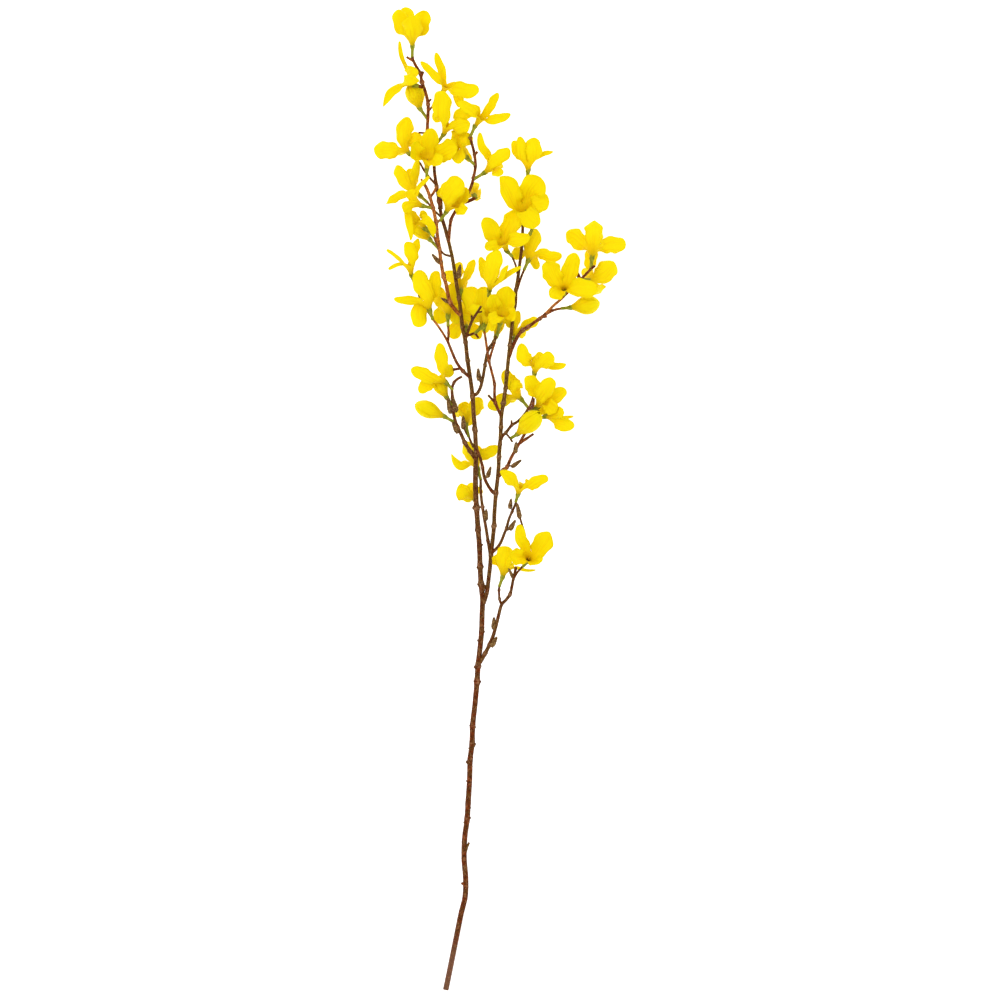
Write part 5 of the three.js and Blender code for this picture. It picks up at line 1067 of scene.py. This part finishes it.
class Sheet:
    """A mesh of quads whose corners carry a place across and along the petal that they are on."""

    def __init__(self):
        self.verts, self.faces, self.corners, self.tones = [], [], [], []

    def row(self, points):
        first = len(self.verts)
        self.verts += points
        return list(range(first, len(self.verts)))

    def quad(self, before, row, j, k, column, low, high, tone):
        """A face between the corners j and k of two rows, in a column of its petal."""
        u = column / PETAL_COLUMNS
        v = u + 1 / PETAL_COLUMNS
        self.faces.append((before[j], before[k], row[k], row[j]))
        self.corners += [(u, low), (v, low), (v, high), (u, high)]
        self.tones.append(tone)

    def tube(self, rings, shift):
        """The faces of the tube between its rings; it starts at a petal's column number shift."""
        count = len(rings[0])
        for i in range(TUBE_RINGS):
            low, high = TUBE_SHARE * i / TUBE_RINGS, TUBE_SHARE * (i + 1) / TUBE_RINGS
            for j in range(count):
                self.quad(rings[i], rings[i + 1], j, (j + 1) % count, (j + shift) % PETAL_COLUMNS,
                          low, high, tone=0.5)

    def strip(self, before, row, low, high, tone):
        """The faces of a petal between one row and the next."""
        for j in range(PETAL_COLUMNS):
            self.quad(before, row, j, j + 1, j, low, high, tone)

    def point(self, before, tip, low, high, tone):
        """The faces of a petal between its last row and its tip."""
        for j in range(PETAL_COLUMNS):
            u = j / PETAL_COLUMNS
            self.faces.append((before[j], before[j + 1], tip))
            self.corners += [(u, low), (u + 1 / PETAL_COLUMNS, low), (0.5, high)]
            self.tones.append(tone)

    def piece(self, name):
        piece = mesh_piece(name, self.verts, self.faces, yellow)
        places = piece.data.uv_layers.new(name="petal")
        places.data.foreach_set("uv", [value for corner in self.corners for value in corner])
        tones = piece.data.attributes.new("tone", "FLOAT", "FACE")
        tones.data.foreach_set("value", self.tones)
        wall = piece.modifiers.new("wall", "SOLIDIFY")
        wall.thickness, wall.offset = SHEET, 0
        return piece


def along_petal(t):
    """A share of the petal's length past the tube as a share of the tube and petal together."""
    return TUBE_SHARE + (1 - TUBE_SHARE) * t


def tube_rings(foot, middle, mouth, flaring):
    """The middle and radius of each ring of the tube, from its foot to its mouth."""
    for i in range(TUBE_RINGS + 1):
        share = i / TUBE_RINGS
        widening = TUBE_EVEN * share + (1 - TUBE_EVEN) * share ** flaring
        yield foot + (middle - foot) * share, TUBE_FOOT + (mouth - TUBE_FOOT) * widening


def petal_line(start, flare, axis, tip, bend):
    """The middle line of a petal, from the throat to its tip, as a function of the share along it."""
    reach = (tip - start).length
    lean = (unit_from(start, tip) - axis * CURL).normalized()
    leave = start + flare * reach * REACH
    arrive = bend if bend else tip - lean * reach * REACH

    def at(t):
        back = 1 - t
        return start * back ** 3 + leave * 3 * t * back ** 2 + arrive * 3 * t * t * back + tip * t ** 3

    def heading(t):
        return ((leave - start) * (1 - t) ** 2 + (arrive - leave) * 2 * t * (1 - t)
                + (tip - arrive) * t * t).normalized()

    return at, heading


def facing_up(heading, flare, cross, shares):
    """For each share along a petal its heading and the direction across it, turning up to the sky."""
    def carried(stops):
        before, rooted, rows = flare, cross.copy(), []
        for t in stops:
            forward = heading(t)
            rooted = before.rotation_difference(forward) @ rooted
            before = forward
            rows.append((t, forward, rooted, Vector((0, 0, 1)).cross(forward)))
        return rows

    hand = 1 if sum(rooted.dot(level) for _, _, rooted, level in carried(FACE_READ_AT)) >= 0 else -1
    rows = []
    for t, forward, rooted, level in carried(shares):
        turned = eased(t / TURN_LENGTH) * level.length
        rows.append((t, forward, rooted.lerp(level.normalized() * hand, turned).normalized()))
    return rows


def soft_least(first, second):
    return first * second / (first ** 4 + second ** 4) ** 0.25


def outline(t, bluntness):
    """Half width of a petal at a share of its length, in its greatest half width."""
    if t <= BROADEST:
        return BASE_WIDTH + (1 - BASE_WIDTH) * math.sin(math.pi / 2 * t / BROADEST)
    x = (t - BROADEST) / (1 - BROADEST)
    power = min(max(math.log(bluntness) / math.log(UNIT_TIP), BLUNTEST), KEENEST)
    return max(1 - x ** TIP_ROUNDNESS, 0) ** power


def even_turns(axis, middle, petals):
    """The petals in turn round the throat, each with its direction and the gaps to its neighbours."""
    side, over = square_to(axis)
    for petal in petals:
        spread = petal["tip"] - middle
        petal["turn"] = math.atan2(spread.dot(over), spread.dot(side))
    petals.sort(key=lambda petal: petal["turn"])
    quarter = math.pi / 2
    first = sum(petal["turn"] - k * quarter for k, petal in enumerate(petals)) / 4
    for k, petal in enumerate(petals):
        petal["turn"] += (first + k * quarter - petal["turn"]) * EVENNESS
    for k, petal in enumerate(petals):
        following = petals[(k + 1) % 4]
        petal["gap"] = following["turn"] - petal["turn"] + (4 * quarter if k == 3 else 0)
        following["gap_before"] = petal["gap"]
    return petals, partial(around, side, over)


def open_bloom(bloom, number):
    """An open bloom, and where its throat is: its middle, axis and depth and a direction across it."""
    name, root, top, throat, mouth, table = bloom
    chance = random.Random(number * 7 + 1)
    top, middle, mouth = place(top), place(throat), mouth * MM
    axis = unit_from(top, middle)
    petals, outward = even_turns(axis, middle, [{
        "tip": place(entry[0]), "width": entry[1] * MM,
        "bluntness": entry[2] if len(entry) > 2 else chance.uniform(*TIP_BLUNTNESS),
        "bend": place(entry[3]) if len(entry) > 3 else None} for entry in table])
    turns = []
    for petal in petals:
        for c in range(-HALF_COLUMNS, HALF_COLUMNS):
            gap = petal["gap_before"] if c < 0 else petal["gap"]
            turns.append(petal["turn"] + c / HALF_COLUMNS * gap / 2)
    sheet = Sheet()
    foot = top - unit_from(place(root), top) * TUBE_SUNK
    rings = [sheet.row([centre + outward(turn) * radius for turn in turns])
             for centre, radius in tube_rings(foot, middle, mouth, OPEN_FLARING)]
    sheet.tube(rings, HALF_COLUMNS)
    for k, petal in enumerate(petals):
        open_petal(sheet, petal, k, rings[-1], (top, middle, mouth, axis, outward), chance)
    corolla = sheet.piece(name.replace("bloom", "corolla"))
    return corolla, (middle, axis, (middle - foot).length, outward(1.0))


def open_petal(sheet, petal, k, ring, throat, chance):
    """One petal of an open bloom, added to its sheet from the ring at its throat."""
    top, middle, mouth, axis, outward = throat
    aim = petal["tip"] - top
    ahead = max(aim.dot(axis), LEAST_AHEAD)
    lean = min(FLARE, (aim - axis * ahead).length / ahead)
    flare = (axis + outward(petal["turn"]) * lean).normalized()
    start = middle + outward(petal["turn"]) * mouth
    at, heading = petal_line(start, flare, axis, petal["tip"], petal["bend"])
    shares = [1 - (1 - i / PETAL_ROWS) ** ROWS_TO_TIP for i in range(1, PETAL_ROWS + 1)]
    columns = range(-HALF_COLUMNS, HALF_COLUMNS + 1)
    before = [ring[(PETAL_COLUMNS * k + HALF_COLUMNS + c) % len(ring)] for c in columns]
    base = [sheet.verts[i].copy() for i in before]
    waves = [chance.uniform(0, 2 * math.pi) for _ in range(4)]
    pace = chance.uniform(*WAVES)
    tone = chance.random()
    low = TUBE_SHARE
    width = petal["width"]
    sway = chance.choice((-1, 1)) * chance.uniform(LEAST_SWAY, 1) * SWAY * width
    for t, forward, across in facing_up(heading, flare, axis.cross(outward(petal["turn"])), shares):
        facing = forward.cross(across)
        centre = at(t) + forward * width * TIP_POINT * t ** 3
        centre += across * sway * math.sin(2 * math.pi * t) * t
        if t >= 1:
            centre.z = max(centre.z, LOWEST)
            sheet.point(before, sheet.row([centre])[0], low, along_petal(t), tone)
            break
        reach = width / 2 * outline(t, petal["bluntness"])
        points = []
        for c in columns:
            u = c / HALF_COLUMNS
            hand = 0 if u < 0 else 1
            gap = petal["gap_before"] if u < 0 else petal["gap"]
            room = ROOM * (at(t) - middle).length * math.tan(min(gap / 2, WIDEST))
            room = min(room, NARROW * mouth + SPREADING * (at(t) - start).length)
            uneven = math.sin(2 * math.pi * UNEVEN_PACE * pace * t + waves[2 + hand])
            sideways = u * soft_least(reach, room) * (1 + UNEVENNESS * uneven * eased(t * 2))
            phase = 2 * math.pi * pace * t + waves[hand]
            lift = (u * u - CUP_LEVEL) * CUPPING * reach
            lift += WAVING * width * abs(u) ** EDGE * math.sin(phase) * eased(t * 3)
            lift -= CREASE * width * math.exp(-(u / CREASE_WIDTH) ** 2) * eased(t * 2) * (1 - t)
            point = centre + across * sideways + facing * lift
            rooted = base[c + HALF_COLUMNS] + (at(t) - start)
            point = rooted.lerp(point, eased(t / SETTLED_BY))
            point.z = max(point.z, LOWEST)
            points.append(point)
        row = sheet.row(points)
        sheet.strip(before, row, low, along_petal(t), tone)
        before, low = row, along_petal(t)


def closed_bloom(bell, number):
    """A bloom that hasn't opened: its petals wrapped round each other, each over the next."""
    name, root, top, tip, width = bell
    chance = random.Random(number * 11 + 3)
    top, tip, width = place(top), place(tip), width * MM
    axis, stalk = unit_from(top, tip), unit_from(place(root), top)
    side, over = square_to(axis)
    length = (tip - top).length

    def rounded(centre, degrees, radius):
        turn = math.radians(degrees)
        return centre + side * radius * math.cos(turn) + over * radius * math.sin(turn)

    sheet, count = Sheet(), 4 * PETAL_COLUMNS
    foot = top - stalk * TUBE_SUNK
    middle = top + axis * length * BELL_MOUTH
    rings = [sheet.row([rounded(centre, 360 * j / count - 45, radius) for j in range(count)])
             for centre, radius in tube_rings(foot, middle, width / 2 * BELL_WAIST, BELL_FLARING)]
    sheet.tube(rings, 0)
    for petal in range(4):
        before = [rings[-1][(PETAL_COLUMNS * petal + c) % count] for c in range(PETAL_COLUMNS + 1)]
        low = TUBE_SHARE
        tone = chance.random()
        stretch = chance.uniform(*BELL_STRETCH)
        phase = chance.uniform(0, 2 * math.pi)
        for i in range(1, BELL_ROWS + 1):
            t = i / BELL_ROWS
            share = BELL_MOUTH + (stretch - BELL_MOUTH) * t
            centre = top + axis * length * share
            spread = 45 + BELL_LAP * eased(t * 2)
            points = []
            for c in range(-HALF_COLUMNS, HALF_COLUMNS + 1):
                u = c / HALF_COLUMNS
                radius = width / 2 * shape_at(min(share, 1), BELL_SHAPE, ease=lambda part: max(part, 0))
                radius += u * BELL_STEP * eased(t * 2)
                radius += BELL_WAVING * math.sin(2 * math.pi * t * BELL_WAVES + phase) * u * u
                sag = -length * BELL_SAG * u * u * t * t
                point = rounded(centre + axis * sag, 90 * petal + u * spread, radius)
                point.z = max(point.z, LOWEST)
                points.append(point)
            row = sheet.row(points)
            sheet.strip(before, row, low, along_petal(t), tone)
            before, low = row, along_petal(t)
    return sheet.piece(name.replace("bloom", "corolla"))


yellow, tree, shader = new_material(
    "petal_yellow", Specular_IOR_Level=0.05, Subsurface_Weight=0.2, Subsurface_Scale=1.5 * MM,
    Subsurface_Radius=(1.0, 0.7, 0.1))
parts = add_node(tree, "ShaderNodeSeparateXYZ", {
    "Vector": add_node(tree, "ShaderNodeUVMap", uv_map="petal")}).outputs
along = parts["Y"]
veined = add_node(tree, "ShaderNodeCombineXYZ", {
    "X": parts["X"], "Y": times(tree, attribute(tree, "tone"), PETAL_SHIFT), "Z": along})
cloud = streaks(tree, own_place(tree), across=70.0, along=70.0, low=0.36, high=0.64)
veins = streaks(tree, veined, across=16.0, along=1.3, low=0.5, high=0.66)
fine = streaks(tree, veined, across=42.0, along=2.6, low=0.4, high=0.64)
# deep in the tube the colour darkens: partly the throat's own deeper gold, partly painted shade
body = stained(tree, ramp(tree, along, PETAL_COLOURS_AND_THROAT_SHADE), cloud, PETAL_CLOUD, strength=0.35)
# veins are strongest near the throat
fading = ranged(tree, along, 0.2, 0.95, at_low=0.55, at_high=0.12)
body = stained(tree, body, veins, PETAL_VEIN, strength=fading)
body = stained(tree, body, fine, PETAL_SHEEN, strength=0.14)
feed(tree, shader.inputs["Base Color"], body)
feed(tree, shader.inputs["Roughness"], ranged(tree, fine, 0, 1, at_low=0.5, at_high=0.72))
relief(tree, shader, blended(tree, 0.35, veins, fine), VEIN_DEPTH, strength=0.8)

throats = []
for number, bloom in enumerate(BLOOMS):
    corolla, throat = open_bloom(bloom, number)
    throats.append(throat)
    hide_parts(bloom[0])
    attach(corolla, "root")
for number, bell in enumerate(BELLS):
    corolla = closed_bloom(bell, number)
    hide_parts(bell[0])
    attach(corolla, "root")


# ---- Stamens and styles ---------------------------------------------------------------------------
# In each open throat two stamens with long orange anthers stand on the tube's wall beside one pale
# green style with a knobbed end.

STAMEN_SHARE = 0.62  # of the throat's depth, their height
STAMEN_FOOT = 0.75  # how far below the throat they stand, of its depth
STAMEN_WIDTH = 1.0 * MM
STAMEN_SIDES = 6
GRAIN_DEPTH = 0.05 * MM
STAMEN_APART, STAMEN_SPREAD, STAMEN_LEAN = 0.45, 0.25, 0.1  # at the foot, apart, and to one side
STYLE_ASIDE = 0.35
# heights of a stamen and of a style, and their radii there in widths
STAMEN_SHAPE = [(0, 0.12), (0.5, 0.12), (0.56, 0.34), (0.75, 0.42), (0.92, 0.34), (1.0, 0.1)]
STYLE_SHAPE = [(0, 0.14), (0.8, 0.12), (0.86, 0.32), (0.95, 0.4), (1.02, 0.22)]
POLLEN_DEEP, POLLEN_LIGHT = srgb(226, 150, 12), srgb(248, 196, 40)

pollen, tree, shader = new_material("pollen", Roughness=0.75, Specular_IOR_Level=0.2)
grains = streaks(tree, own_place(tree), across=1500.0, along=1500.0, low=0.4, high=0.62)
feed(tree, shader.inputs["Base Color"], blended(tree, grains, POLLEN_DEEP, POLLEN_LIGHT))
relief(tree, shader, grains, GRAIN_DEPTH)

seats = [(middle - axis * depth * STAMEN_FOOT, outward, axis,
          (STAMEN_WIDTH, STAMEN_WIDTH, depth * STAMEN_SHARE)) for middle, axis, depth, outward in throats]
verts, faces = [], []
for hand in (-1, 1):
    more, sides = turned_rings(
        Vector((STAMEN_APART * hand, 0, 0)), Vector((STAMEN_SPREAD * hand, STAMEN_LEAN, 1)).normalized(),
        STAMEN_SHAPE, STAMEN_SIDES)
    faces += [tuple(i + len(verts) for i in side) for side in sides]
    verts += more
stamens = set_on("stamens", mesh_piece("stamen_pair", verts, faces), seats, pollen)
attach(stamens, "root")

style = mesh_piece("style", *turned_rings(
    Vector((0, -STYLE_ASIDE, 0)), Vector((0, 0, 1)), STYLE_SHAPE, STAMEN_SIDES))
styles = set_on("styles", style, seats, green)
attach(styles, "root")


# ---- Surface, light and camera --------------------------------------------------------------------
# A white table under soft light from all round and a large lamp above, seen from straight above.

FLOOR_SIZE = 6.0
FLOOR_GAP = 0.15 * MM  # below the lowest petal
FLOOR_GLOW = 0.7  # the table is lit from within as well, so that it stays white
SKY_STRENGTH = 0.82
CAMERA_HEIGHT = 10.0
MID_HEIGHT = 45 * MM  # the camera takes in one metre at this height
SENSOR = 36.0
WHITE = (1, 1, 1, 1)
TABLE_WHITE, TABLE_PALE = srgb(252, 252, 252), srgb(250, 250, 250)

white, tree, shader = new_material(
    "white_table", Roughness=0.9, Specular_IOR_Level=0.1, Emission_Strength=FLOOR_GLOW,
    Emission_Color=WHITE)
soft = streaks(tree, own_place(tree), across=3.0, along=3.0, low=0.3, high=0.7)
feed(tree, shader.inputs["Base Color"], blended(tree, soft, TABLE_WHITE, TABLE_PALE))
reach = FLOOR_SIZE / 2
corners = [(x * reach, y * reach, -FLOOR_GAP) for x, y in ((-1, -1), (1, -1), (1, 1), (-1, 1))]
floor = mesh_piece("floor", corners, [(0, 1, 2, 3)], white, smooth=False)

sky = bpy.data.worlds.new("soft_sky")
sky.use_nodes = True
sky.node_tree.nodes["Background"].inputs["Color"].default_value = WHITE
sky.node_tree.nodes["Background"].inputs["Strength"].default_value = SKY_STRENGTH
bpy.context.scene.world = sky


def lamp(name, position, size, power):
    light = bpy.data.lights.new(name, "AREA")
    light.size, light.energy = size, power
    thing = in_scene(name, light)
    thing.location = position
    thing.rotation_mode = "QUATERNION"
    thing.rotation_quaternion = (-Vector(position)).to_track_quat("-Z", "Y")


lamp("lamp_above", (-1.0, 1.0, 2.4), size=1.6, power=22)
lamp("lamp_beside", (1.6, -0.6, 1.8), size=1.8, power=8)

camera = in_scene("camera", bpy.data.cameras.new("camera"))
camera.data.sensor_width = SENSOR
camera.data.lens = SENSOR * (CAMERA_HEIGHT - MID_HEIGHT)
camera.data.clip_end = 100
camera.location = (0, 0, CAMERA_HEIGHT)
bpy.context.scene.camera = camera
bpy.context.scene.view_settings.view_transform = "Standard"
